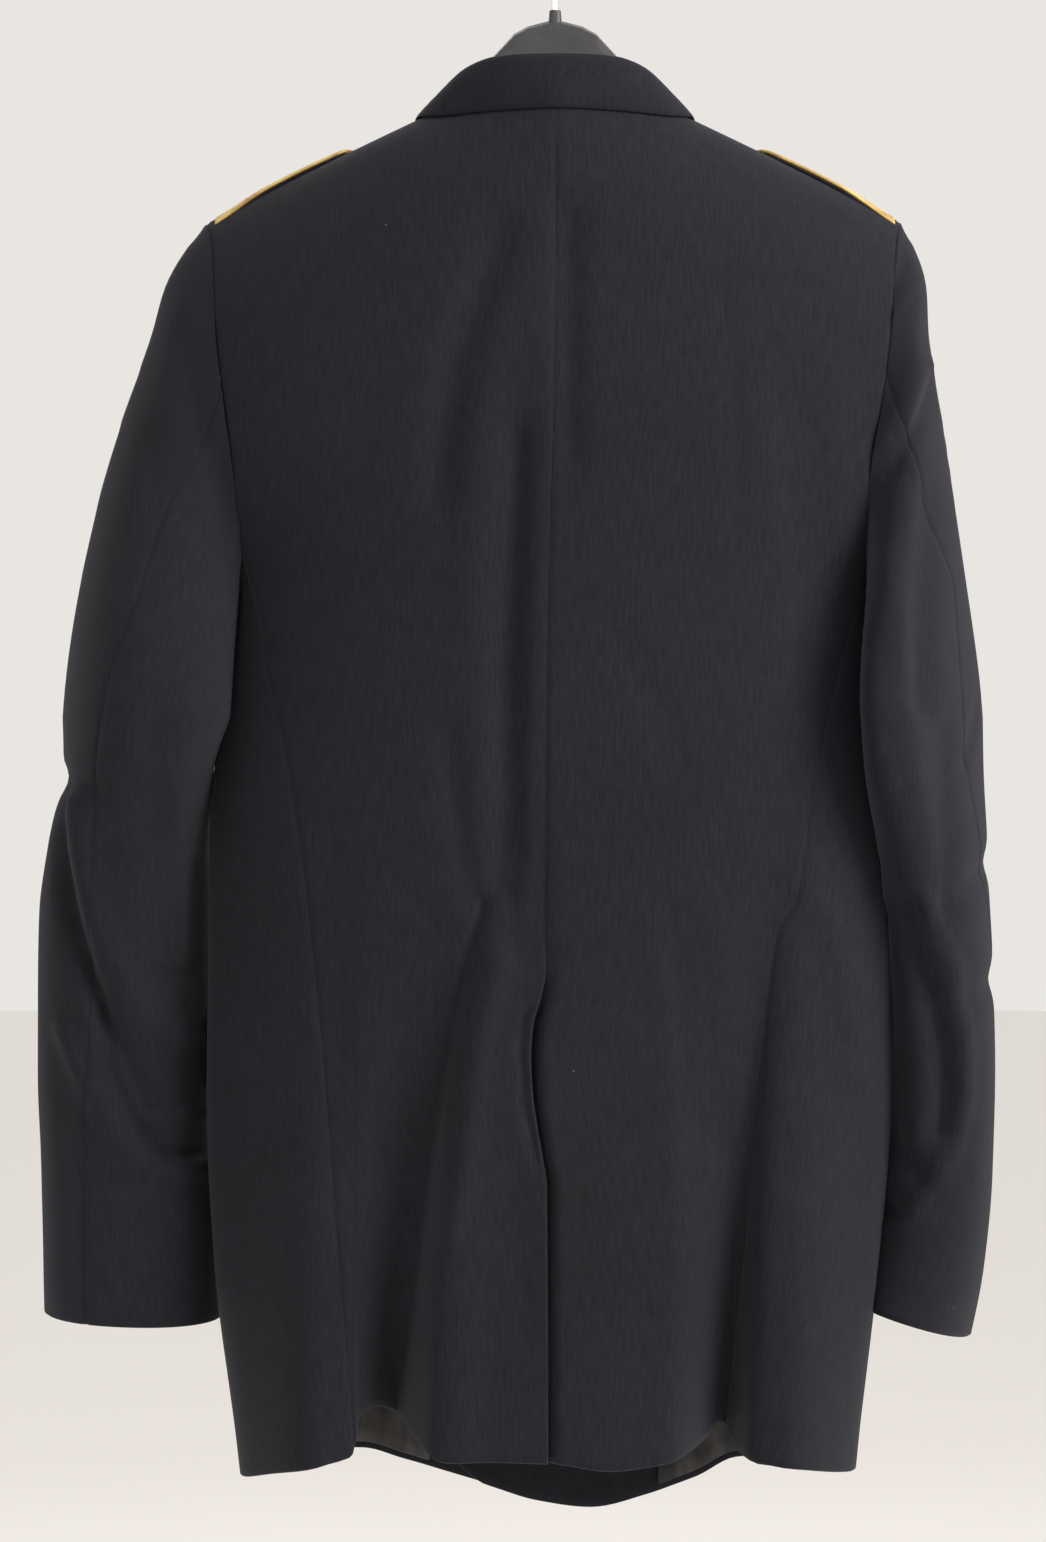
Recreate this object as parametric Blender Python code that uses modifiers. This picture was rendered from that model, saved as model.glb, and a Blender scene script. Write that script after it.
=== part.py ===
"""A dress uniform jacket that hangs on a plastic hanger, seen from any side.

Every size is in millimetres until a mesh is made, which is in metres.
The origin is the top of the hook's inside, where a peg or knob holds it. +Z is up, the jacket's front
faces -Y, and the wearer's left is +X. The cloth pieces are thin walls that stand a hair apart at seams.
"""
import math

import bpy
import bmesh
import numpy as np
from mathutils import Vector

MM = 0.001
COLLECTION = "dress_uniform_jacket"

# Cloth and seams
CLOTH = 2.0
SEAM_GAP = 0.9
LINING = 1.2
LINING_GAP = {"left": 2.0, "right": 2.1}

# Shoulders: one straight slope each side, rounded over the hanger's arm
SHOULDER_AT = 80.0
SHOULDER_Z = -126.5
SHOULDER_FALL = 0.452
SHOULDER_TIP = 206.0
SHOULDER_ROUND = 90.0
FORWARD_CURVE = 22.0
FORWARD_AT = 200.0
NECK_HALF = 74.0
NECK_BACK_Z = -120.4

# Armhole and the level where the side panels begin
SEAM_TOP_Z = -380.0
UNDERARM_Z = -402.0
UNDERARM_DIP = 22.0
UNDERARM_CURVE = 1.3
SECOND_DIP = 0.6
ARMHOLE_TOP_Z = -182.0
SQUARENESS = 2.6
HEM_LEVEL = -900.0

# Vent at the centre back
VENT_TOP_Z = -626.0
VENT_UNDERLAP = 38.0
VENT_BLEND = 30.0
VENT_EDGE = 1.5
VENT_JOIN = 6

# Front closing and lapels
NECK_FRONT_X = 72.0
BREAK_Z = -395.0
FRONT_OVERLAP = 20.0
LAYER_STEP = 2.6
GORGE_Z = -173.5
GORGE_SLANT = 30.0
BUTTON_TOP_Z = -405.0
BUTTON_PITCH = 92.0
BUTTON_COUNT = 4

FRONT_HEM_EDGE = {"left": -28.0, "right": 67.0}
FRONT_CORNER_WIDTH = 26.0
FRONT_CORNER_RISE = 10.0
LAYER_WIDTH = 45.0
LINING_EDGE = {"left": 76.0, "right": 63.0}
LINING_TOP = 0.06
LINING_FOOT = 0.965
LINING_SEAM_GAP = 3.0
LINING_COLUMNS = 7
LINING_ROWS = 9

# Cells of the panels: across, and down in shares of the way to the armhole's foot and to the hem
BACK_COLUMNS = 16
SIDE_COLUMNS = 10
FRONT_COLUMNS = 10
UNDERLAP_COLUMNS = 4
UPPER_ROWS = (0.0, 0.005, 0.03, 0.08, 0.17, 0.30, 0.44, 0.58, 0.72, 0.86, 1.0)
LOWER_ROWS = np.linspace(0, 1.0, 17)

# Half widths and depths of the body at each height
BODY = (
    "z left right back front",
    (-85, 236, 236, 48, 48),
    (-125, 238, 238, 52, 54),
    (-200, 240, 240, 58, 62),
    (-300, 234, 232, 61, 67),
    (-350, 216, 212, 60, 67),
    (-402, 186, 186, 58, 66),
    (-463, 193, 191, 56, 64),
    (-530, 203, 200, 55, 62),
    (-600, 204, 203, 56, 61),
    (-700, 205, 199, 60, 60),
    (-800, 200, 190, 66, 58),
    (-900, 187, 178, 70, 56),
    (-960, 180, 172, 71, 56),
)

# Where the back panels end: the armhole, then the seam to the side panel
BACK_EDGE = (
    "z left right",
    (-182, 206, 204),
    (-200, 200, 199),
    (-260, 196, 193),
    (-315, 189, 186),
    (-350, 185, 182),
    (-380, 182, 181),
    (-402, 177, 177),
    (-430, 170, 168),
    (-512, 152, 149),
    (-580, 142, 138),
    (-600, 140, 127),
    (-666, 133, 119),
    (-780, 124, 109),
    (-866, 117, 101),
    (-960, 112, 96),
)

# Where the front panels end at the side
FRONT_EDGE = (
    "z left right",
    (-182, 206, 204),
    (-200, 199, 198),
    (-240, 187, 186),
    (-290, 177, 176),
    (-340, 176, 175),
    (-380, 178, 177),
    (-402, 178, 178),
    (-450, 172, 172),
    (-520, 166, 165),
    (-600, 161, 160),
    (-700, 158, 156),
    (-800, 155, 152),
    (-960, 148, 145),
)

# The centre back seam, and below the vent's top the left panel's free edge
CENTRE_BACK = (
    "z x",
    (-110, 0.0),
    (-200, 0.3),
    (-300, 1.5),
    (-410, 4.5),
    (-560, 6.0),
    (-626, 6.5),
    (-650, 10.5),
    (-665, 13.0),
    (-682, 13.0),
    (-702, 10.8),
    (-722, 7.4),
    (-742, 5.6),
    (-900, 5.4),
    (-960, 5.4),
)

# How far the right panel's underlap lies behind the left panel
VENT_STEP = (
    "z step",
    (-600, 0.0),
    (-618, 1.5),
    (-632, 4.6),
    (-668, 10.0),
    (-700, 9.0),
    (-740, 6.5),
    (-800, 5.0),
    (-960, 5.0),
)

# Heights of the hem, by the place across the back and across the front
HEM_BACK = (
    "x z",
    (-187, -919),
    (-165, -911),
    (-135, -901),
    (-115, -898),
    (-100, -889),
    (-80, -893),
    (-50, -897),
    (-30, -899),
    (0, -895),
    (40, -895),
    (70, -894),
    (88, -887),
    (103, -883),
    (116, -890),
    (132, -900),
    (160, -908),
    (192, -922),
)
HEM_FRONT = (
    "x z",
    (-187, -919),
    (-150, -917),
    (-110, -919),
    (-85, -932),
    (-55, -943),
    (-22, -950),
    (10, -946),
    (40, -937),
    (67, -929),
    (90, -921),
    (115, -914),
    (150, -916),
    (192, -922),
)

# How a fold deepens down its run, fades beyond both of its ends, and dies out where the body turns
FOLD_DEEPENING = 1.25
FOLD_HEAD_FADE = (-0.16, 0.12)
FOLD_FOOT_FADE = (0.92, 1.15)
FOLD_FULL = 2.2

# Folds of the body. Each runs from its head by its middle to its foot as seen from the back, and is
# a trough where the depth is above nought and a ridge where it is below. The inner half width is on
# the side of the centre seam.
FOLDS = (
    "face head_x head_z mid_x mid_z foot_x foot_z outer_head outer_foot inner_head inner_foot "
    "head_depth foot_depth",
    # deep trough beside the left side panel, and the rolled fold outside it
    (1, 50, -545, 83, -740, 101, -960, 60, 20, 20, 30, 0, 50),
    (1, 152, -520, 142, -700, 140, -960, 44, 40, 26, 20, 0, -14),
    # the bright ridge inside the trough
    (1, 26, -570, 50, -740, 64, -960, 20, 22, 20, 26, 0, -6),
    # deep trough beside the right side panel, and the rolled fold outside it
    (1, -126, -550, -106, -740, -95, -960, 20, 17, 44, 36, 2, 48),
    (1, -150, -560, -142, -740, -131, -960, 40, 40, 22, 18, 0, -13),
    # long soft troughs of the upper back
    (1, 34, -200, 58, -290, 64, -350, 20, 20, 20, 20, 2.5, 2),
    (1, 20, -290, 26, -420, 16, -610, 22, 24, 22, 24, 4, 3.5),
    (1, -9, -190, -6, -260, -5, -345, 18, 18, 18, 18, 2.5, 1.5),
    (1, -138, -290, -148, -380, -151, -470, 24, 24, 24, 24, 3, 2),
    (1, -32, -425, -54, -462, -70, -500, 16, 16, 16, 16, 2.4, 1),
    # folds of the skirt
    (1, -78, -590, -82, -650, -84, -720, 18, 22, 18, 22, 2, 5),
    (1, -148, -575, -166, -620, -178, -700, 16, 16, 16, 16, -4, -3),
    (1, 93, -830, 94, -870, 92, -960, 10, 10, 10, 10, 0, -4),
    # soft troughs of the hidden front
    (-1, 128, -210, 120, -300, 122, -380, 26, 26, 26, 26, 3, 2),
    (-1, -124, -215, -118, -310, -124, -400, 26, 26, 26, 26, 3, 2),
    (-1, 96, -700, 98, -800, 100, -960, 36, 40, 36, 40, 0, 6),
    (-1, -108, -700, -106, -800, -108, -960, 36, 40, 36, 40, 0, 6),
    (-1, 40, -470, 60, -520, 96, -560, 18, 18, 18, 18, 2.5, 2),
    (-1, -40, -480, -64, -520, -100, -550, 18, 18, 18, 18, 2.5, 2),
)

# Sleeves as ovals below the armhole: place and half width as seen from behind, front to back place
# and half depth, and how far the back of the oval leans towards the body, in degrees
SLEEVE_LEFT = (
    "z x half y deep lean",
    (-475, 240, 47.0, -6, 66, 16),
    (-505, 245.5, 43.5, -12, 65, 6),
    (-550, 252.5, 44.5, -28, 63, -8),
    (-590, 255.5, 47.0, -40, 62, -16),
    (-640, 256.5, 47.5, -46, 60, -20),
    (-690, 257, 48.0, -48, 59, -19),
    (-740, 255.5, 50.0, -48, 57, -9),
    (-775, 254, 51.5, -48, 55, -4),
    (-812, 253, 52.0, -47, 53, 0),
    (-842, 252, 52.5, -48, 51, 0),
)
SLEEVE_RIGHT = (
    "z x half y deep lean",
    (-475, -216, 34.0, -4, 66, 22),
    (-505, -218, 34.0, -10, 65, 20),
    (-560, -225, 33.0, -26, 63, 12),
    (-620, -227, 34.0, -38, 61, 4),
    (-680, -227, 35.0, -44, 59, 0),
    (-740, -225, 36.0, -47, 57, 0),
    (-790, -220, 37.0, -48, 55, 2),
    (-842, -211, 37.5, -48, 53, 6),
)
# The seam down the back of each sleeve, as seen from behind
HIND_SEAM = {
    "left": (
        "z x",
        (-290, 194),
        (-327, 207.6),
        (-362, 224.7),
        (-418, 241.3),
        (-460, 255),
        (-506, 262),
        (-560, 266),
        (-610, 270),
        (-670, 272),
        (-757, 274.5),
        (-842, 274.5),
    ),
    "right": (
        "z x",
        (-240, -181),
        (-269, -188.3),
        (-316, -203.1),
        (-362, -218),
        (-400, -232.9),
        (-431, -243),
        (-480, -252),
        (-560, -262),
        (-842, -262),
    ),
}
HIND_RANGE = (18.0, 150.0)
FORE_SEAM = -112.0
SLEEVE_JOIN_Z = -475.0
CUFF_Z = {"left": -831.0, "right": -832.0}
CUFF_SLANT = {"left": 2.0, "right": -16.0}
CAP_FULLNESS = {"left": 6.0, "right": 6.0}
CAP_AT = 0.12
CAP_SPREAD = 0.10
OUTWARD_SHARE = {"left": 1.0, "right": 0.5}
BODY_CLEAR = 6.0
CAP_ROWS = 8
CAP_CROWDING = 1.25
CAP_EDGE = 0.05
ARM_ROWS = 12
RING_STEPS = 361
TOP_COLUMNS = {"left": 12, "right": 8}
UNDER_COLUMNS = {"left": 9, "right": 13}
ARMHOLE_GAP = 2.4
SLEEVE_RADIUS = 50.0
SLEEVE_POWER = 0.92
SLANT_FROM = 0.55

# How the sleeve's cap sets off from the armhole: its rise over the shoulder and drop under the arm,
# and its first direction as shares of the way down to the elbow's level
CAP_UPPER_Z = -300.0
CAP_LOWER_Z = -395.0
CAP_RISE = 1.2
CAP_DROP = 1.5
CAP_OUT = 0.46
CAP_OUT_BELOW = 0.10
CAP_DEEPEN = 0.10
CAP_DOWN = 0.86
JOIN_OUT = 0.06

# Where a sleeve is pushed off the body
CLEAR_FROM_Z = -370.0
CLEAR_FULL_Z = -432.0
LEAST_INSIDE = 0.3
CLEAR_DEPTH_SHARE = 0.4

# How far a surface has turned to the back or front where a crease of that side fades in
CREASE_FACING = (-0.1, 0.45)

# Creases of the sleeves as seen from the back, each a trough from its head by its middle to its foot
SLEEVE_CREASES = (
    "side face head_x head_z mid_x mid_z foot_x foot_z half depth",
    ("left", 1, 292, -503, 284, -562, 266, -640, 14, 5),
    ("left", 1, 272, -640, 246, -690, 214, -710, 13, 5),
    ("left", 1, 236, -715, 226, -732, 208, -742, 9, 3),
    ("left", 1, 232, -618, 222, -640, 212, -652, 8, 3),
    ("left", 1, 224, -250, 214, -300, 196, -346, 12, 3),
    ("left", 1, 240, -405, 236, -460, 234, -524, 18, 3),
    ("left", 0, 304, -508, 290, -512, 262, -520, 9, 4),
    ("right", 1, -205, -598, -222, -616, -236, -672, 12, 5),
    ("right", 1, -236, -672, -230, -742, -206, -774, 12, 5),
    ("right", 1, -206, -222, -198, -238, -190, -250, 9, 3),
    ("right", 1, -186, -300, -196, -320, -208, -330, 14, -4),
    ("right", 0, -262, -560, -250, -566, -226, -584, 8, 4),
    ("right", 0, -264, -628, -250, -636, -232, -640, 8, 4),
    ("left", -1, 292, -520, 270, -560, 240, -590, 13, 4),
    ("left", -1, 284, -600, 262, -640, 230, -650, 12, 4),
    ("right", -1, -250, -530, -230, -570, -212, -590, 13, 4),
    ("right", -1, -252, -620, -232, -650, -214, -664, 12, 4),
)

# Collar, from the centre back to the notch: the neck seam and the fold above it in plan and height,
# then the free edge by its place across and its turn over the shoulder in degrees
COLLAR = (
    "step seam_x seam_y seam_z fold_x fold_y fold_z edge_x edge_turn",
    (0.0, 0, 40.5, -118.6, 0, 44.0, -96.5, 0, 55.0),
    (0.8, 20, 38.0, -118.8, 19, 42.5, -96.5, 22, 47.0),
    (1.6, 40, 29.5, -119.2, 37, 35.0, -97.0, 43, 38.5),
    (2.4, 58, 16.5, -119.9, 54, 20.0, -102.0, 67, 26.0),
    (3.2, 67.6, -1.0, -120.9, 63, -2.0, -109.5, 78, 11.0),
    (4.0, 66.8, -22.0, -127.9, 64.5, -24.0, -119.0, 82, -14.0),
    (4.8, 63.2, -39.0, -139.0, 61, -43.5, -133.0, 84, -34.0),
    (5.6, 58.4, -52.0, -153.8, 57, -58.5, -150.0, 84, -52.0),
    (6.4, 53.4, -60.0, -168.6, 52.6, -67.5, -167.0, 82, -69.0),
)
COLLAR_LIFT = 3.6
COLLAR_FOLD_RADIUS = 3.2
STAND_MIDDLE = 0.55
STAND_HOLLOW = 1.2
FOLD_INSIDE = 0.8
FOLD_LOW = 0.9
FOLD_OUTSIDE = 0.2
FALL_BULGE = 2.6
COLLAR_COLUMNS = 14

# Lapel's free edge and its height above the front
LAPEL = (
    "z edge_x",
    (-172, 104),
    (-205, 118),
    (-232, 111),
    (-280, 88),
    (-330, 55),
    (-372, 18),
    (-388, 0),
)
LAPEL_LIFT = 4.2
LAPEL_INSET = 1.5
LAPEL_THICK = 1.8
LAPEL_LEAST = 5.0
LAPEL_ROLL_SINK = 1.4
LAPEL_EDGE_SINK = 0.9
LAPEL_COLUMNS = 5
LAPEL_ROWS = 12
LAPEL_FOOT = {"left": -384.0, "right": -366.0}

# Pocket flaps by their place around the body, as turns from the centre back to the centre front
FLAP_INNER_TURN = 0.862
FLAP_OUTER_TURN = {"left": 0.535, "right": 0.655}
FLAP_TOP_Z = -632.0
FLAP_HEIGHT = 66.0
FLAP_CORNER = 4.0
FLAP_COLUMNS = 13
FLAP_ROWS = 5
FLAP_STAND_OFF = {"left": 3.0, "right": 2.9}
FLAP_SPRING = {"left": 3.0, "right": 3.0}

# Shoulder loops with their braid
LOOP_INNER_X = 116.0
LOOP_OUTER_X = 199.0
LOOP_HALF = 19.0
LOOP_TAPER = 0.3
LOOP_SET = 5.0
LOOP_FORWARD = 9.0
LOOP_END = 16.0
LOOP_ROWS = (0.0, 0.025, 0.07, 0.13, 0.2, 0.36, 0.52, 0.68, 0.84, 1.0)
LOOP_COLUMNS = 8
LOOP_LIFT = 2.3
LOOP_THICK = 1.5
BRAID_WIDTH = 5.5
BRAID_THICK = 2.4
BRAID_GAP = 0.75
BRAID_INSET = 0.2
BRAID_STEPS = 31
BRAID_STRAIGHT = 0.82
BRAID_END_REACH = 0.65
LOOP_BUTTON_X = 132.0

# Buttons
FRONT_BUTTON_RADIUS = 11.0
LOOP_BUTTON_RADIUS = 6.5
BUTTON_OUTLINE = (
    "across high",
    (0.0, 1.0),
    (0.45, 0.86),
    (0.8, 0.46),
    (0.97, 0.16),
    (1.0, -0.12),
    (0.86, -0.42),
    (0.0, -0.42),
)
DOME_SHARE = 0.42
BUTTON_BACK = DOME_SHARE * 0.42
FRONT_BUTTON_GAP = 0.9
LOOP_BUTTON_GAP = 0.6
BUTTON_X = 2.0
BUTTON_FACETS = 18

# Hanger
HANGER_CENTRE_X = (0.0, 8.0, 16.0, 24.0, 32.0, 41.0, 50.0, 60.0, 72.0)
HANGER_ARM_X = (90.0, 190.0, 6)
HANGER_ROUND_X = 197.0
HANGER_POWER = 0.8
HANGER_FACETS = 12
BOSS_FACETS = 16
BOSS_FLARE = 1.2
BOSS_HEIGHT = 16.0
HOOK_FOOT_GAP = 0.3
HOOK_NECK = 12.0
HOOK_NECK_RISE = 7.0
HOOK_LEAD = 8.0
HOOK_SWEEP_STEPS = 8
HANGER_TIP_X = 200.0
HANGER_SEAT = 0.5
HANGER_CROWN = (
    "x top half height",
    (0, -67.0, 7.0, 46),
    (20, -72.5, 7.2, 42),
    (34, -86.0, 7.8, 36),
    (50, -104.0, 8.6, 28),
    (64, -122.4, 9.4, 24),
    (73, -127.2, 10.0, 24),
    (80, -128.9, 10.5, 24),
    (140, -155.9, 12.5, 26),
    (190, -178.5, 13.5, 26),
    (200, -183.0, 12.5, 22),
)
BOSS_RADIUS = 3.4
BOSS_TOP_Z = -62.0
HOOK_WIRE = 2.0
HOOK_INNER = 19.0
HOOK_START_TURN = -62.0
HOOK_END_TURN = 205.0
HOOK_STEPS = 20

COLOURS = {
    "cloth": (0.024, 0.023, 0.029, 1.0),
    "lining": (0.10, 0.085, 0.075, 1.0),
    "braid": (0.62, 0.40, 0.10, 1.0),
    "brass": (0.70, 0.50, 0.20, 1.0),
    "plastic": (0.035, 0.034, 0.035, 1.0),
    "chrome": (0.72, 0.72, 0.74, 1.0),
}
FINISH = {
    "cloth": (0.9, 0.0),
    "lining": (0.4, 0.0),
    "braid": (0.45, 0.6),
    "brass": (0.3, 1.0),
    "plastic": (0.45, 0.0),
    "chrome": (0.18, 1.0),
}
SIDES = {"left": 1.0, "right": -1.0}


# Tables and smooth curves

def column(table, name):
    """Numbers of one named column of a table."""
    place = table[0].split().index(name)
    return np.array([row[place] for row in table[1:]], float)


def curve(table, key, name):
    """Smooth curve through a column, with no overshoot between its rows."""
    keys = column(table, key)
    values = column(table, name)
    order = np.argsort(keys)
    keys, values = keys[order], values[order]
    steps = np.diff(keys)
    slopes = np.diff(values) / steps
    tangents = np.zeros(len(keys))
    tangents[0], tangents[-1] = slopes[0], slopes[-1]
    same_way = slopes[:-1] * slopes[1:] > 0
    mean = 2 * slopes[:-1] * slopes[1:] / np.where(same_way, slopes[:-1] + slopes[1:], 1.0)
    tangents[1:-1] = np.where(same_way, mean, 0.0)

    def value(at):
        at = np.clip(np.asarray(at, float), keys[0], keys[-1])
        left = np.clip(np.searchsorted(keys, at) - 1, 0, len(keys) - 2)
        width = steps[left]
        part = (at - keys[left]) / width
        rest = 1 - part
        return (values[left] * (1 + 2 * part) * rest ** 2
                + values[left + 1] * part ** 2 * (3 - 2 * part)
                + tangents[left] * width * part * rest ** 2
                - tangents[left + 1] * width * part ** 2 * rest)
    return value


def smooth(value, low, high):
    """Soft step from 0 at low to 1 at high."""
    part = np.clip((value - low) / (high - low), 0, 1)
    return part * part * (3 - 2 * part)


def unit(vectors):
    """Vectors with a length of one."""
    lengths = np.linalg.norm(vectors, axis=-1, keepdims=True)
    return vectors / np.maximum(lengths, 1e-9)


BACK_DEPTH = curve(BODY, "z", "back")
FRONT_DEPTH = curve(BODY, "z", "front")
HALF_WIDTH = {side: curve(BODY, "z", side) for side in SIDES}
BACK_END = {side: curve(BACK_EDGE, "z", side) for side in SIDES}
FRONT_END = {side: curve(FRONT_EDGE, "z", side) for side in SIDES}
CENTRE_X = curve(CENTRE_BACK, "z", "x")
STEP_IN = curve(VENT_STEP, "z", "step")
HEM_AT = {1: curve(HEM_BACK, "x", "z"), -1: curve(HEM_FRONT, "x", "z")}
LAPEL_EDGE = curve(LAPEL, "z", "edge_x")


# The body's surface

def shoulder_z(x):
    """Height of the shoulder's ridge."""
    return SHOULDER_Z - SHOULDER_FALL * (np.abs(x) - SHOULDER_AT)


def middle_y(x):
    """The ridge and the side seams curve forward with the hanger."""
    return -FORWARD_CURVE * (np.abs(x) / FORWARD_AT) ** 2


def half_width(x, z):
    """Half width of the body on the side that x lies on."""
    return np.where(x >= 0, HALF_WIDTH["left"](z), HALF_WIDTH["right"](z))


def trough(x, z, fold):
    """Depth of one fold at a place, from its route and half widths."""
    names = FOLDS[0].split()
    row = dict(zip(names, fold))
    run = (row["head_z"] - z) / (row["head_z"] - row["foot_z"])
    bend = (row["head_z"] - row["mid_z"]) / (row["head_z"] - row["foot_z"])
    part = np.clip(run, 0, 1)
    route = curve(("run x", (0, row["head_x"]), (bend, row["mid_x"]), (1, row["foot_x"])), "run", "x")
    side = 1.0 if row["mid_x"] >= 0 else -1.0
    off = (x - route(part)) * side
    outer = row["outer_head"] + (row["outer_foot"] - row["outer_head"]) * part
    inner = row["inner_head"] + (row["inner_foot"] - row["inner_head"]) * part
    across = np.clip(np.abs(off) / np.where(off > 0, outer, inner), 0, 1)
    deep = row["head_depth"] + (row["foot_depth"] - row["head_depth"]) * part ** FOLD_DEEPENING
    fade = smooth(run, *FOLD_HEAD_FADE) * (1 - smooth(run, *FOLD_FOOT_FADE))
    return deep * fade * 0.5 * (1 + np.cos(math.pi * across))


def fold_shift(x, z, face):
    """All folds of one face together, inwards above nought."""
    total = np.zeros(np.broadcast(x, z).shape)
    for fold in FOLDS[1:]:
        if fold[0] == face:
            total = total + trough(x, z, fold)
    return total


def face_point(x, z, face, fullness=None):
    """A point of the body's back (face 1) or front (face -1)."""
    x, z = np.broadcast_arrays(np.asarray(x, float), np.asarray(z, float))
    depth = BACK_DEPTH(z) if face > 0 else FRONT_DEPTH(z)
    if fullness is None:
        across = np.clip(np.abs(x) / half_width(x, z), 0, 1)
        fullness = (1 - across ** SQUARENESS) ** (1 / SQUARENESS)
    drop = np.clip((shoulder_z(x) - z) / SHOULDER_ROUND, 0, 1)
    rounding = np.sqrt(np.maximum(1 - (1 - drop) ** 2, 0))
    y = middle_y(x) + face * depth * fullness * rounding
    y = y - face * fold_shift(x, z, face) * np.minimum(1, FOLD_FULL * fullness)
    return np.stack([x, y, z], axis=-1)


def ring_point(turn, z, side):
    """A point around the body: turn 0 is the centre back, 0.5 the side, 1 the centre front."""
    turn = np.asarray(turn, float)
    sine = np.clip(np.sin(math.pi * turn), 0, 1) ** (2 / SQUARENESS)
    cosine = np.abs(np.cos(math.pi * turn)) ** (2 / SQUARENESS)
    x = SIDES[side] * HALF_WIDTH[side](z) * sine
    back = face_point(x, z, 1, cosine)
    front = face_point(x, z, -1, cosine)
    return np.where((turn <= 0.5)[..., None], back, front)


def turn_of(x, z, side, face):
    """The turn at which the ring passes x on the given face."""
    across = np.clip(np.abs(x) / HALF_WIDTH[side](z), 0, 1)
    turn = math.asin(float(across) ** (SQUARENESS / 2)) / math.pi
    return turn if face > 0 else 1 - turn


# Rows of the panels

def lower_z(x, part, face):
    """Height of a row between the underarm and the hem."""
    return UNDERARM_Z + (HEM_AT[face](x) - UNDERARM_Z) * part


def even_points(line, count, trim_start=0.0, trim_end=0.0):
    """Points at even steps along a dense line, a little inside its ends, and its direction there."""
    steps = np.linalg.norm(np.diff(line, axis=0), axis=1)
    along = np.concatenate([[0], np.cumsum(steps)])
    wanted = np.linspace(trim_start, along[-1] - trim_end, count + 1)
    points = np.stack([np.interp(wanted, along, line[:, axis]) for axis in range(3)], axis=1)
    tangent = unit(np.gradient(line, axis=0))
    ways = np.stack([np.interp(wanted, along, tangent[:, axis]) for axis in range(3)], axis=1)
    return points, unit(ways)


def make_rows(lines, count, trims):
    """A grid of points and directions across, one row for each dense line."""
    rows = [even_points(line, count, trims[0], trims[1]) for line in lines]
    return np.stack([row[0] for row in rows]), np.stack([row[1] for row in rows])


def normals_of(points, ways, flip, first_down=None):
    """Directions out of a grid, from its rows' own directions and the steps down its columns."""
    down = np.gradient(points, axis=0)
    if first_down is not None:
        down[0] = first_down
    return unit(np.cross(ways, down) * flip)


# Meshes

def material(name, kind):
    """A plain material with the piece's colour and finish."""
    made = bpy.data.materials.new(name)
    made.use_nodes = True
    shader = made.node_tree.nodes["Principled BSDF"]
    shader.inputs["Base Color"].default_value = COLOURS[kind]
    shader.inputs["Roughness"].default_value = FINISH[kind][0]
    shader.inputs["Metallic"].default_value = FINISH[kind][1]
    made.diffuse_color = COLOURS[kind]
    return made


def add_object(name, mesh, kind, collection):
    """An object of its own with its own material."""
    mesh.materials.append(material(name + "_look", kind))
    made = bpy.data.objects.new(name, mesh)
    collection.objects.link(made)
    return made


def mesh_from(name, points, faces, sharp=40):
    """A smooth-shaded mesh from points in millimetres, with its faces pointing out."""
    mesh = bpy.data.meshes.new(name)
    mesh.from_pydata([tuple(point * MM) for point in points], [], faces)
    mesh.validate()
    shape = bmesh.new()
    shape.from_mesh(mesh)
    bmesh.ops.recalc_face_normals(shape, faces=shape.faces)
    shape.to_mesh(mesh)
    shape.free()
    mesh.shade_smooth()
    mesh.set_sharp_from_angle(angle=math.radians(sharp))
    return mesh


def wall_mesh(name, outer, inner, kept=None, closed=False):
    """A closed wall between two grids of points, with rims where its cells end."""
    rows, columns = outer.shape[:2]
    spans = columns if closed else columns - 1
    kept = np.ones((rows - 1, spans), bool) if kept is None else kept
    points = np.concatenate([outer.reshape(-1, 3), inner.reshape(-1, 3)])
    shift = rows * columns

    def corner(row, place):
        return row * columns + place % columns

    faces = []
    edges = {}
    for row in range(rows - 1):
        for place in range(spans):
            if not kept[row, place]:
                continue
            quad = (corner(row, place), corner(row, place + 1),
                    corner(row + 1, place + 1), corner(row + 1, place))
            faces.append(quad)
            faces.append(tuple(shift + one for one in reversed(quad)))
            for start, end in zip(quad, quad[1:] + quad[:1]):
                edges[(start, end)] = (end, start) not in edges
                if not edges[(start, end)]:
                    edges[(end, start)] = False
    for (start, end), rim in edges.items():
        if rim:
            faces.append((end, start, shift + start, shift + end))
    used = sorted({one for face in faces for one in face})
    place_of = {old: new for new, old in enumerate(used)}
    faces = [tuple(place_of[one] for one in face) for face in faces]
    return mesh_from(name, points[used], faces)


def add_wall(name, points, normals, kind, collection, thick=CLOTH, kept=None, closed=False):
    """A piece of cloth around its middle surface."""
    outer = points + normals * thick / 2
    inner = points - normals * thick / 2
    return add_object(name, wall_mesh(name, outer, inner, kept, closed), kind, collection)


# Back panels

def centre_top(x):
    """Height of the back's top edge: the neck seam, then the shoulder seam."""
    neck_end = shoulder_z(NECK_HALF)
    inside = np.clip(np.abs(x) / NECK_HALF, 0, 1)
    neck = NECK_BACK_Z + (neck_end - NECK_BACK_Z) * inside ** 2
    return np.where(np.abs(x) < NECK_HALF, neck, shoulder_z(x))


def upper_line(start_x, end_x, top_z, part, face, dense=160):
    """A dense row above the underarm between two edges that are functions of the height."""
    share = np.linspace(0, 1, dense)
    x = share * SHOULDER_TIP
    for _ in range(3):
        z = top_z(x) + (SEAM_TOP_Z - top_z(x)) * part
        x = start_x(z) + (end_x(z) - start_x(z)) * share
    z = top_z(x) + (SEAM_TOP_Z - top_z(x)) * part
    return face_point(x, z, face)


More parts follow.
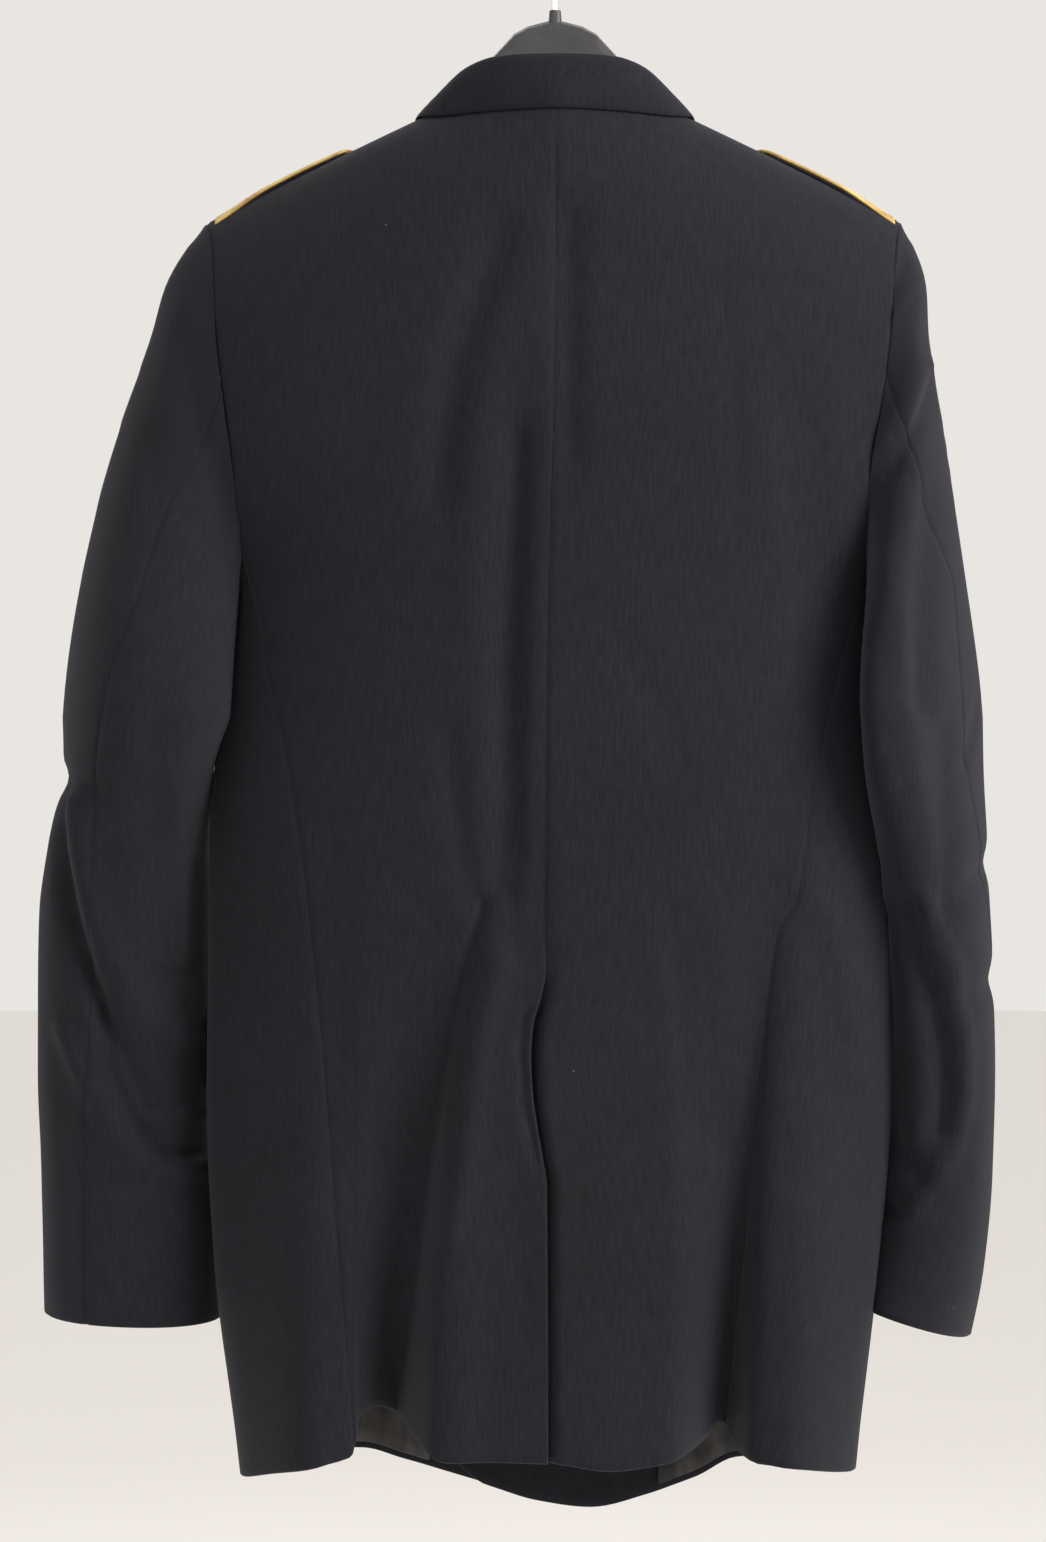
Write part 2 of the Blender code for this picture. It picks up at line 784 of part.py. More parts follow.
def lower_line(start_x, end_x, part, face, dense=260):
    """A dense row below the underarm, between two edges that are functions of the height."""
    level = UNDERARM_Z + (HEM_LEVEL - UNDERARM_Z) * part
    x = np.linspace(start_x(level), end_x(level), dense)
    return face_point(x, lower_z(x, part, face), face)


def back_panel(side):
    """Points, directions out and kept cells of one back panel."""
    sign = SIDES[side]

    def start(z):
        return CENTRE_X(z)

    def end(z):
        return sign * BACK_END[side](z)

    lines = [upper_line(start, end, centre_top, part, 1) for part in UPPER_ROWS]
    lines += [lower_line(start, end, part, 1) for part in LOWER_ROWS]
    points, ways = make_rows(lines, BACK_COLUMNS, (SEAM_GAP / 2, SEAM_GAP / 2))
    points[0, :, 1] += SEAM_GAP / 2
    over_ridge = (np.abs(points[0, :, 0]) > NECK_HALF)[:, None]
    straight = points[1] - points[0]
    first_down = np.where(over_ridge, np.array([0.0, 1.0, 0.0]), unit(straight))
    normals = normals_of(points, ways, sign, first_down)
    kept = np.ones((points.shape[0] - 1, BACK_COLUMNS), bool)
    if side == "left":
        return points, normals, kept
    return with_underlap(step_behind(points), normals, kept)


def step_behind(points):
    """The right panel sinks behind the left panel's free edge below the vent's top."""
    x, z = points[..., 0], points[..., 2]
    near = smooth(x, CENTRE_X(z) - VENT_BLEND, CENTRE_X(z) - VENT_EDGE)
    sunk = points.copy()
    sunk[..., 1] -= STEP_IN(z) * near
    return sunk


def with_underlap(points, normals, kept):
    """The right panel with the strip that runs on behind the left one below the vent's top."""
    strips = UNDERLAP_COLUMNS
    edge = points[:, 0]
    share = np.linspace(1, 0, strips, endpoint=False)
    x = edge[:, :1] + VENT_UNDERLAP * share
    z = np.repeat(edge[:, 2:], strips, axis=1)
    extra = face_point(x, z, 1)
    extra[..., 1] -= STEP_IN(z)
    whole = np.concatenate([extra, points], axis=1)
    fresh = normals_of(whole, unit(np.gradient(whole, axis=1)), -1.0)
    joined = strips + VENT_JOIN
    sewn = whole[:, :1, 2:] > VENT_TOP_Z + VENT_BLEND
    fresh[:, joined:] = normals[:, VENT_JOIN:]
    fresh[:, strips:joined] = np.where(sewn, normals[:, :VENT_JOIN], fresh[:, strips:joined])
    below = whole[:-1, strips, 2] < VENT_TOP_Z
    strip_kept = np.repeat(below[:, None], strips, axis=1)
    return whole, fresh, np.concatenate([strip_kept, kept], axis=1)


# Side panels

def side_line(side, nominal, part, dip, dense=120):
    """A dense row of a side panel. A row above the hem's rows is level, apart from its dip under the arm."""
    sign = SIDES[side]
    back_x = sign * BACK_END[side](nominal)
    front_x = sign * FRONT_END[side](nominal)
    z_back = nominal if part is None else lower_z(back_x, part, 1)
    z_front = nominal if part is None else lower_z(front_x, part, -1)
    start = turn_of(back_x, z_back, side, 1)
    end = turn_of(front_x, z_front, side, -1)
    share = np.linspace(0, 1, dense)
    turns = start + (end - start) * share
    level = nominal - dip * np.sin(math.pi * share) ** UNDERARM_CURVE
    if part is not None:
        flat = ring_point(turns, level, side)
        level = np.where(turns <= 0.5, lower_z(flat[:, 0], part, 1), lower_z(flat[:, 0], part, -1))
        level[0], level[-1] = z_back, z_front
    return ring_point(turns, level, side)


def side_panel(side):
    """Points and directions out of one side panel, from the back seam round to the front seam."""
    lines = [side_line(side, SEAM_TOP_Z, None, UNDERARM_DIP),
             side_line(side, UNDERARM_Z, None, UNDERARM_DIP * SECOND_DIP)]
    lines += [side_line(side, UNDERARM_Z + (HEM_LEVEL - UNDERARM_Z) * part, part, 0.0)
              for part in LOWER_ROWS[1:]]
    points, ways = make_rows(lines, SIDE_COLUMNS, (SEAM_GAP / 2, SEAM_GAP / 2))
    return points, normals_of(points, ways, SIDES[side])


# Front panels

def roll_x(z, sign):
    """The front's edge above the top button is the line on which the lapel rolls."""
    part = np.clip((shoulder_z(NECK_FRONT_X) - z) / (shoulder_z(NECK_FRONT_X) - BREAK_Z), 0, 1)
    return sign * (NECK_FRONT_X - (NECK_FRONT_X + FRONT_OVERLAP) * part)


def front_edge_x(z, side):
    """The front's free edge from the neck down to the rounded corner at the hem."""
    sign = SIDES[side]
    part = smooth(z, BREAK_Z, HEM_LEVEL - 30)
    straight = -sign * FRONT_OVERLAP + (FRONT_HEM_EDGE[side] + sign * FRONT_OVERLAP) * part
    return np.where(z > BREAK_Z, roll_x(z, sign), straight)


def layer_shift(x, z, side):
    """Where the fronts overlap, the left one lies outside and the right one inside."""
    sign = SIDES[side]
    other = front_edge_x(z, "right" if side == "left" else "left")
    near = 1 - smooth(x * sign, other * sign, other * sign + LAYER_WIDTH)
    open_above = smooth(z, BREAK_Z + 110, BREAK_Z + 20)
    return -sign * LAYER_STEP * near * open_above


def front_panel(side):
    """Points and directions out of one front, from the side to its free edge."""
    sign = SIDES[side]

    def start(z):
        return sign * FRONT_END[side](z)

    def end(z):
        return front_edge_x(z, side)

    lines = [upper_line(start, end, shoulder_z, part, -1) for part in UPPER_ROWS]
    lines += [lower_line(start, end, part, -1) for part in LOWER_ROWS]
    points, ways = make_rows(lines, FRONT_COLUMNS, (SEAM_GAP / 2, 0.0))
    points[0, :, 1] -= SEAM_GAP / 2
    normals = normals_of(points, ways, sign, np.array([0.0, -1.0, 0.0]))
    points[..., 1] += layer_shift(points[..., 0], points[..., 2], side)
    to_edge = np.abs(points[-1, :, 0] - points[-1, -1, 0])
    points[-1, :, 2] += FRONT_CORNER_RISE * smooth(to_edge, FRONT_CORNER_WIDTH, 0.0)
    return points, normals


# Lapels, collar, flaps and lining: all made from the body's own points, moved out or in

def surface_normals(points, flip):
    """Directions out of any grid, from its steps across and down."""
    return normals_of(points, unit(np.gradient(points, axis=1)), flip)


def lapel(side):
    """One lapel, which lies on the front between its roll line and its free edge."""
    sign = SIDES[side]
    across = np.linspace(0, 1, LAPEL_COLUMNS)
    rows = []
    for part in np.linspace(0, 1, LAPEL_ROWS):
        level = GORGE_Z + (LAPEL_FOOT[side] - GORGE_Z) * part
        slant = -GORGE_SLANT * (1 - part) ** 3
        z = level + slant * across
        inner = roll_x(z, sign) + sign * LAPEL_INSET
        if side == "right":
            inner = np.minimum(inner, roll_x(z, 1.0) - 2 * LAPEL_INSET)
        outer = sign * np.maximum(LAPEL_EDGE(z), sign * inner + LAPEL_LEAST)
        x = inner + (outer - inner) * across
        point = face_point(x, z, -1)
        point[:, 1] += layer_shift(x, z, side)
        rows.append(point)
    points = np.stack(rows)
    normals = surface_normals(points, -sign)
    lift = LAPEL_LIFT - LAPEL_ROLL_SINK * (1 - across) ** 2 - LAPEL_EDGE_SINK * across ** 3
    return points + normals * lift[None, :, None], normals


def collar():
    """Points and directions out of the folded collar, from the left notch round to the right one."""
    half = np.linspace(0, column(COLLAR, "step")[-1], COLLAR_COLUMNS)
    steps = np.concatenate([-half[:0:-1], half])
    sizes = {name: curve(COLLAR, "step", name)(np.abs(steps)) for name in COLLAR[0].split()[1:]}
    side = np.where(steps < 0, 1.0, -1.0)
    seam = np.stack([side * sizes["seam_x"], sizes["seam_y"], sizes["seam_z"]], axis=1)
    fold = np.stack([side * sizes["fold_x"], sizes["fold_y"], sizes["fold_z"]], axis=1)
    turn = np.radians(sizes["edge_turn"])
    edge_x = side * sizes["edge_x"]
    edge_z = shoulder_z(edge_x) - SHOULDER_ROUND * (1 - np.cos(turn))
    back = face_point(edge_x, edge_z, 1)
    front = face_point(edge_x, edge_z, -1)
    edge = np.where((turn > 0)[:, None], back, front)
    out = surface_out(edge_x, turn)
    edge = edge + out * COLLAR_LIFT
    aside = edge - seam
    aside[:, 2] = 0
    aside = unit(aside)
    up = np.array([0.0, 0.0, 1.0])
    radius = COLLAR_FOLD_RADIUS
    outer = fold + aside * radius - up * radius
    sections = [
        seam,
        seam + (fold - seam) * STAND_MIDDLE - aside * STAND_HOLLOW,
        fold - aside * radius * FOLD_INSIDE - up * radius * FOLD_LOW,
        fold,
        outer + aside * radius * FOLD_OUTSIDE,
        (outer + edge) / 2 + out * FALL_BULGE,
        edge,
    ]
    points = np.stack(sections)
    return points, surface_normals(points, -1.0)


def surface_out(x, turn):
    """Direction out of the shoulder at a turn over its ridge, positive towards the back."""
    depth = BACK_DEPTH(shoulder_z(x))
    out = np.stack([np.sign(x) * SHOULDER_FALL * np.cos(turn) * np.minimum(1, np.abs(x) / NECK_HALF),
                    np.sin(turn) * SHOULDER_ROUND / depth,
                    np.cos(turn)], axis=1)
    return unit(out)


def pocket_flap(side):
    """One pocket flap, sewn along its top edge and springing off the cloth towards its foot."""
    sign = SIDES[side]
    across = np.linspace(0, 1, FLAP_COLUMNS)
    down = np.linspace(0, 1, FLAP_ROWS)
    turns = FLAP_OUTER_TURN[side] + (FLAP_INNER_TURN - FLAP_OUTER_TURN[side]) * across
    rows = []
    for part in down:
        corner = FLAP_CORNER * part ** 3 * np.abs(2 * across - 1) ** 6
        rows.append(ring_point(turns, FLAP_TOP_Z - FLAP_HEIGHT * part + corner, side))
    points = np.stack(rows)
    normals = surface_normals(points, sign)
    lift = FLAP_STAND_OFF[side] + FLAP_SPRING[side] * down ** 1.5
    return points + normals * lift[:, None, None], normals


def lining(side):
    """The lining inside a front, from its facing to the side, up from the turned hem."""
    sign = SIDES[side]
    rows = []
    for part in np.linspace(LINING_TOP, LINING_FOOT, LINING_ROWS):
        level = UNDERARM_Z + (HEM_LEVEL - UNDERARM_Z) * part
        x = sign * np.linspace(FRONT_END[side](level) - LINING_SEAM_GAP, LINING_EDGE[side], LINING_COLUMNS)
        rows.append(face_point(x, lower_z(x, part, -1), -1))
    points = np.stack(rows)
    normals = surface_normals(points, sign)
    inside = points - normals * (CLOTH / 2 + LINING / 2 + LINING_GAP[side])
    inside[..., 1] += np.maximum(layer_shift(points[..., 0], points[..., 2], side), 0)
    return inside, normals


# Sleeves

def armhole_loop(side, dense=60):
    """The armhole's edge from the shoulder down its back, under the arm and up its front."""
    sign = SIDES[side]
    tip = BACK_END[side](ARMHOLE_TOP_Z)
    down = np.linspace(shoulder_z(tip), SEAM_TOP_Z, dense)
    back = face_point(sign * BACK_END[side](down), down, 1)
    share = np.linspace(0, 1, dense)
    dip = SEAM_TOP_Z - UNDERARM_DIP * np.sin(math.pi * share) ** UNDERARM_CURVE
    start = turn_of(BACK_END[side](SEAM_TOP_Z), SEAM_TOP_Z, side, 1)
    end = turn_of(FRONT_END[side](SEAM_TOP_Z), SEAM_TOP_Z, side, -1)
    under = ring_point(start + (end - start) * share, dip, side)
    front = face_point(sign * FRONT_END[side](down[::-1]), down[::-1], -1)
    return np.concatenate([back, under[1:], front[1:]])


def oval(side, z, angles):
    """Points of one oval of the sleeve. Angle 0 is the outer side and 90 the back."""
    table = SLEEVE_LEFT if side == "left" else SLEEVE_RIGHT
    size = {name: float(curve(table, "z", name)(z)) for name in ("x", "half", "y", "deep", "lean")}
    sign = SIDES[side]
    across = sign * size["half"] * np.sign(np.cos(angles)) * np.abs(np.cos(angles)) ** SLEEVE_POWER
    along = size["deep"] * np.sign(np.sin(angles)) * np.abs(np.sin(angles)) ** SLEEVE_POWER
    lean = math.radians(size["lean"])
    x = size["x"] + across * math.cos(lean) - sign * along * math.sin(lean)
    y = size["y"] + along * math.cos(lean) + across * math.sin(lean)
    return np.stack([x, y, np.full(len(angles), z)], axis=-1)


def crease_depth(points, normals, side):
    """Depth of the sleeve's creases at each point, from how near each crease passes."""
    names = SLEEVE_CREASES[0].split()
    total = np.zeros(points.shape[:-1])
    for values in SLEEVE_CREASES[1:]:
        row = dict(zip(names, values))
        if row["side"] != side:
            continue
        route = np.array([(row["head_x"], row["head_z"]), (row["mid_x"], row["mid_z"]),
                          (row["foot_x"], row["foot_z"])], float)
        place = points[..., [0, 2]]
        nearest = np.full(total.shape, 1e9)
        for start, end in zip(route[:-1], route[1:]):
            way = end - start
            part = np.clip(((place - start) @ way) / (way @ way), 0, 1)
            gap = np.linalg.norm(place - start - part[..., None] * way, axis=-1)
            nearest = np.minimum(nearest, gap)
        facing = 1.0 if row["face"] == 0 else smooth(row["face"] * normals[..., 1], *CREASE_FACING)
        total += row["depth"] * facing * np.exp(-(nearest / row["half"]) ** 2)
    return total


def keep_clear(points, side, margin):
    """Push sleeve points out of the body's outline and a little beyond it."""
    x, y, z = points[..., 0], points[..., 1], points[..., 2]
    width = HALF_WIDTH[side](z) + margin
    depth = np.where(y > middle_y(x), BACK_DEPTH(z), FRONT_DEPTH(z)) + margin
    inside = np.abs(x / width) ** SQUARENESS + np.abs((y - middle_y(x)) / depth) ** SQUARENESS
    below = smooth(z, CLEAR_FROM_Z, CLEAR_FULL_Z)
    grow = np.where(inside < 1, np.maximum(inside, LEAST_INSIDE) ** (-1 / SQUARENESS), 1.0)
    grow = 1 + (grow - 1) * below
    moved = points.copy()
    moved[..., 0] = x * grow
    moved[..., 1] = middle_y(x) + (y - middle_y(x)) * (1 + (grow - 1) * CLEAR_DEPTH_SHARE)
    return moved


def sleeve_rings(side, angles):
    """Dense rings of one sleeve from the armhole to the cuff, one column for each angle."""
    loop = armhole_loop(side)
    steps = np.linalg.norm(np.diff(loop, axis=0), axis=1)
    along = np.concatenate([[0], np.cumsum(steps)]) / steps.sum()
    share = (angles / (2 * math.pi)) % 1.0
    start = np.stack([np.interp(share, along, loop[:, axis]) for axis in range(3)], axis=1)
    sign = SIDES[side]
    start[:, 0] += sign * ARMHOLE_GAP
    lower_part = smooth(start[:, 2], CAP_UPPER_Z, CAP_LOWER_Z)
    start[:, 2] += CAP_RISE * (1 - lower_part) - CAP_DROP * lower_part
    end = oval(side, SLEEVE_JOIN_Z, angles)
    reach = np.linalg.norm(end - start, axis=1, keepdims=True)
    outward = (CAP_OUT - (CAP_OUT - CAP_OUT_BELOW) * lower_part) * OUTWARD_SHARE[side]
    head = np.stack([sign * outward,
                     CAP_DEEPEN * np.sin(angles),
                     -CAP_DOWN * np.ones(len(angles))], axis=1) * reach
    foot = np.stack([sign * JOIN_OUT * np.ones(len(angles)), np.zeros(len(angles)),
                     -np.ones(len(angles))], axis=1) * reach
    rows = []
    for part in np.linspace(0, 1, CAP_ROWS) ** CAP_CROWDING:
        rest = 1 - part
        row = (start * (1 + 2 * part) * rest ** 2 + end * part ** 2 * (3 - 2 * part)
               + head * part * rest ** 2 - foot * part ** 2 * rest)
        full = CAP_FULLNESS[side] * math.exp(-((part - CAP_AT) / CAP_SPREAD) ** 2) * min(1, part / CAP_EDGE)
        row[:, 0] += sign * full * np.maximum(np.cos(angles), 0)
        rows.append(row)
    centre = float(curve(SLEEVE_LEFT if side == "left" else SLEEVE_RIGHT, "z", "x")(CUFF_Z[side]))
    for part in np.linspace(0, 1, ARM_ROWS)[1:]:
        level = SLEEVE_JOIN_Z + (CUFF_Z[side] - SLEEVE_JOIN_Z) * part
        ring = oval(side, level, angles)
        slant = CUFF_SLANT[side] * sign * (ring[:, 0] - centre) / SLEEVE_RADIUS
        ring[:, 2] += slant * smooth(part, SLANT_FROM, 1.0)
        rows.append(ring)
    points = np.stack(rows)
    points = keep_clear(points, side, BODY_CLEAR)
    return points


def hind_angle(side, angles, ring):
    """Angle at which a ring of the sleeve passes the seam down its back."""
    lowest, highest = np.radians(HIND_RANGE)
    behind = (angles > lowest) & (angles < highest)
    gap = ring[:, 0] - curve(HIND_SEAM[side], "z", "x")(ring[:, 2])
    return float(np.interp(0.0, -SIDES[side] * gap[behind], angles[behind]))


def sleeve_columns(side):
    """Grid of one sleeve, its columns shared out between the two seams."""
    first = math.radians(FORE_SEAM)
    last = first + 2 * math.pi
    angles = np.linspace(first, last, RING_STEPS)
    rows = []
    for ring in sleeve_rings(side, angles):
        seam = hind_angle(side, angles, ring)
        wanted = np.concatenate([np.linspace(first, seam, TOP_COLUMNS[side] + 1)[:-1],
                                 np.linspace(seam, last, UNDER_COLUMNS[side] + 1)[:-1]])
        rows.append(np.stack([np.interp(wanted, angles, ring[:, axis]) for axis in range(3)], axis=1))
    return np.stack(rows)


def sleeve_grid(side):
    """The whole sleeve as one ring of columns, with its creases pressed in."""
    points = sleeve_columns(side)
    wrapped = np.concatenate([points[:, -1:], points, points[:, :1]], axis=1)
    ways = unit(wrapped[:, 2:] - wrapped[:, :-2])
    normals = unit(np.cross(ways, np.gradient(points, axis=0)))
    middle = points.mean(axis=1, keepdims=True)
    outward = np.sum(normals * (points - middle), axis=-1, keepdims=True)
    normals = normals * np.sign(np.median(outward))
    points = points - normals * crease_depth(points, normals, side)[..., None]
    return points, normals


def seam_strip(points, normals, first, last):
    """The columns of one sleeve panel, drawn in a hair at both seams."""
    count = points.shape[1]
    places = [place % count for place in range(first, last + 1)]
    strip = points[:, places].copy()
    strip[:, 0] += unit(strip[:, 1] - strip[:, 0]) * SEAM_GAP / 2
    strip[:, -1] += unit(strip[:, -2] - strip[:, -1]) * SEAM_GAP / 2
    return strip, normals[:, places]


# Shoulder loops

def ridge_point(x, across, sign, lift):
    """A point over the shoulder at a distance across its ridge, moved out by the lift."""
    x = np.asarray(x, float)
    level = shoulder_z(x)
    depth = np.where(across > 0, BACK_DEPTH(level), FRONT_DEPTH(level))
    depth = depth * (1 - (x / HALF_WIDTH["left"](level)) ** SQUARENESS) ** (1 / SQUARENESS)
    turn = np.arcsin(np.clip(across / depth, -0.95, 0.95))
    point = np.stack([sign * x, middle_y(x) + depth * np.sin(turn),
                      shoulder_z(x) - SHOULDER_ROUND * (1 - np.cos(turn))], axis=-1)
    out = np.stack([sign * SHOULDER_FALL * np.ones(x.shape), np.sin(turn) * SHOULDER_ROUND / depth,
                    np.cos(turn)], axis=-1)
    return point + unit(out) * np.asarray(lift)[..., None], unit(out)


def loop_share(x):
    """How far along the shoulder loop a place is, from 0 at the armhole to 1 at its neck end."""
    return np.clip((LOOP_OUTER_X - x) / (LOOP_OUTER_X - LOOP_INNER_X), 0, 1)


def loop_centre(x):
    """The loop's middle line lies before the ridge and bears forward towards the neck."""
    return -LOOP_SET - LOOP_FORWARD * loop_share(x) ** 1.5


def loop_half(x):
    """Half width of the shoulder loop, which narrows towards the neck and ends round."""
    end = np.clip((x - LOOP_INNER_X) / LOOP_END, 0, 1)
    return LOOP_HALF * (1 - LOOP_TAPER * loop_share(x)) * np.sqrt(np.maximum(1 - (1 - end) ** 2, 0.06))


def shoulder_loop(side):
    """The strap over the shoulder, with a round end near the neck."""
    x = LOOP_INNER_X + (LOOP_OUTER_X - LOOP_INNER_X) * np.array(LOOP_ROWS)
    x = np.repeat(x[:, None], LOOP_COLUMNS, axis=1)
    across = np.linspace(-1, 1, LOOP_COLUMNS)[None, :] * loop_half(x) + loop_centre(x)
    return ridge_point(x, across, SIDES[side], np.full(x.shape, LOOP_LIFT))


def shoulder_braid(side):
    """The braid round the strap's edge, open at the armhole."""
    steps = np.linspace(-1, 1, BRAID_STEPS)
    hand = np.sign(steps)
    round_share = 1 - BRAID_STRAIGHT
    turn = np.abs(steps)
    quarter = np.clip(turn / round_share, 0, 1) * math.pi / 2
    round_length = LOOP_HALF * BRAID_END_REACH
    straight_start = LOOP_INNER_X + round_length
    x = np.where(turn < round_share,
                 LOOP_INNER_X + round_length * (1 - np.cos(quarter)),
                 straight_start + (LOOP_OUTER_X - straight_start) * (turn - round_share) / BRAID_STRAIGHT)
    edge = LOOP_HALF * (1 - LOOP_TAPER * loop_share(x)) - BRAID_INSET
    across = hand * edge * np.sin(quarter) + loop_centre(x)
    lift = np.full(len(x), LOOP_LIFT + LOOP_THICK / 2 + BRAID_GAP + BRAID_THICK / 2)
    rows = []
    normals = []
    for shift in np.linspace(0, BRAID_WIDTH, 3):
        point, out = ridge_point(x + np.cos(quarter) * shift, across - hand * np.sin(quarter) * shift,
                                 SIDES[side], lift)
        rows.append(point)
        normals.append(out)
    return np.stack(rows), np.stack(normals)


# Turned buttons

def button_profile(radius):
    """Half outline of a domed button with a rolled rim, from the top of its dome to its back."""
    across = column(BUTTON_OUTLINE, "across") * radius
    high = column(BUTTON_OUTLINE, "high") * radius * DOME_SHARE
    return list(zip(across.tolist(), high.tolist()))


def add_button(name, radius, place, out, collection):
    """A domed button turned about its own axis, its back towards the cloth."""
    profile = button_profile(radius)
    mesh = bpy.data.meshes.new(name)
    mesh.from_pydata([(x * MM, 0.0, z * MM) for x, z in profile], [],
                     [(one, one + 1) for one in range(len(profile) - 1)])
    made = add_object(name, mesh, "brass", collection)
    screw = made.modifiers.new("turned", "SCREW")
    screw.axis = "Z"
    screw.steps = BUTTON_FACETS
    screw.render_steps = BUTTON_FACETS
    screw.use_merge_vertices = True
    screw.merge_threshold = 0.00001
    screw.use_normal_flip = True
    made.location = Vector(place * MM)
    made.rotation_mode = "QUATERNION"
    made.rotation_quaternion = Vector(out).to_track_quat("Z", "Y")
    return made


def front_buttons(collection):
    """The row of buttons down the left front."""
    lift = CLOTH / 2 + FRONT_BUTTON_RADIUS * BUTTON_BACK + FRONT_BUTTON_GAP
    for number in range(BUTTON_COUNT):
        z = BUTTON_TOP_Z - BUTTON_PITCH * number
        place = face_point(BUTTON_X, z, -1)
        place[1] += float(layer_shift(BUTTON_X, z, "left")) - lift
        add_button("front_button_%d" % (number + 1), FRONT_BUTTON_RADIUS, place,
                   np.array([0.0, -1.0, 0.0]), collection)


def loop_buttons(collection):
    """A small button near the neck end of each shoulder loop."""
    for side, sign in SIDES.items():
        lift = LOOP_LIFT + LOOP_THICK / 2 + LOOP_BUTTON_RADIUS * BUTTON_BACK + LOOP_BUTTON_GAP
        middle = np.array([loop_centre(LOOP_BUTTON_X)])
        place, out = ridge_point(np.array([LOOP_BUTTON_X]), middle, sign, np.array([lift]))
        add_button("shoulder_button_" + side, LOOP_BUTTON_RADIUS, place[0], out[0], collection)


# Hanger

def hanger_ring(x, count):
    """One section of the hanger's body, a rounded bar that stands on its lower edge."""
    size = {name: float(curve(HANGER_CROWN, "x", name)(abs(x))) for name in ("top", "half", "height")}
    angles = np.linspace(0, 2 * math.pi, count, endpoint=False)
    high = np.sin(angles)
    y = size["half"] * np.sign(np.cos(angles)) * np.abs(np.cos(angles)) ** HANGER_POWER
    z = size["top"] - size["height"] * (1 - np.sign(high) * np.abs(high) ** HANGER_POWER) / 2
    return np.stack([np.full(count, x), middle_y(x) + y, z], axis=1)


def add_hanger_body(collection):
    """The hanger's shaped bar with its neck boss."""
    half = np.concatenate([HANGER_CENTRE_X, np.linspace(*HANGER_ARM_X), [HANGER_ROUND_X, HANGER_TIP_X]])
    places = np.concatenate([-half[:0:-1], half])
    count = HANGER_FACETS
    rings = np.stack([hanger_ring(x, count) for x in places])
    ends = [rings[0].mean(axis=0), rings[-1].mean(axis=0)]
    points = np.concatenate([rings.reshape(-1, 3), ends])
    faces = []
    for row in range(len(places) - 1):
        for one in range(count):
            two = (one + 1) % count
            faces.append((row * count + one, row * count + two,
                          (row + 1) * count + two, (row + 1) * count + one))
    first, last = len(points) - 2, len(points) - 1
    top = (len(places) - 1) * count
    for one in range(count):
        two = (one + 1) % count
        faces.append((first, two, one))
        faces.append((last, top + one, top + two))
    body = add_object("hanger_body", mesh_from("hanger_body", points, faces), "plastic", collection)
    boss = bmesh.new()
    bmesh.ops.create_cone(boss, cap_ends=True, segments=BOSS_FACETS, radius1=(BOSS_RADIUS + BOSS_FLARE) * MM,
                          radius2=BOSS_RADIUS * MM, depth=BOSS_HEIGHT * MM)
    mesh = bpy.data.meshes.new("neck_boss")
    boss.to_mesh(mesh)
    boss.free()
    tool = bpy.data.objects.new("neck_boss", mesh)
    tool.location = (0.0, 0.0, (BOSS_TOP_Z - BOSS_HEIGHT / 2) * MM)
    tool.hide_render = True
    tool.display_type = "WIRE"
    cutters = bpy.data.collections.new("joining_shapes")
    bpy.context.scene.collection.children.link(cutters)
    cutters.objects.link(tool)
    union = body.modifiers.new("boss", "BOOLEAN")
    union.operation = "UNION"
    union.object = tool
    return body


def hook_route():
    """The wire's middle line: up from the boss, out to the left and round over the origin."""
    radius = HOOK_INNER + HOOK_WIRE
    centre_z = -HOOK_INNER
    turns = np.radians(np.linspace(HOOK_START_TURN, HOOK_END_TURN, HOOK_STEPS))
    bend = np.stack([radius * np.cos(turns), np.zeros(HOOK_STEPS), centre_z + radius * np.sin(turns)], axis=1)
    foot = np.array([0.0, 0.0, BOSS_TOP_Z + HOOK_FOOT_GAP])
    neck = np.array([0.0, 0.0, BOSS_TOP_Z + HOOK_NECK])
    above = neck + np.array([0.0, 0.0, HOOK_NECK_RISE])
    start = bend[0]
    way = unit(bend[1] - bend[0])
    lead = start - way * HOOK_LEAD
    sweep = [foot]
    for part in np.linspace(0, 1, HOOK_SWEEP_STEPS)[:-1]:
        rest = 1 - part
        sweep.append(neck * rest ** 3 + 3 * above * part * rest ** 2
                     + 3 * lead * part ** 2 * rest + start * part ** 3)
    return np.concatenate([np.array(sweep), bend])


def add_hook(collection):
    """The wire hook as one bent wire."""
    route = hook_route()
    line = bpy.data.curves.new("hanger_hook", "CURVE")
    line.dimensions = "3D"
    line.bevel_depth = HOOK_WIRE * MM
    line.bevel_resolution = 2
    line.use_fill_caps = True
    spline = line.splines.new("POLY")
    spline.points.add(len(route) - 1)
    for place, point in zip(spline.points, route):
        place.co = (*(point * MM), 1.0)
    line.materials.append(material("hanger_hook_look", "chrome"))
    made = bpy.data.objects.new("hanger_hook", line)
    collection.objects.link(made)
    return made


# Everything

def clear_scene():
    """Start with an empty scene."""
    for old in list(bpy.data.objects):
        bpy.data.objects.remove(old, do_unlink=True)


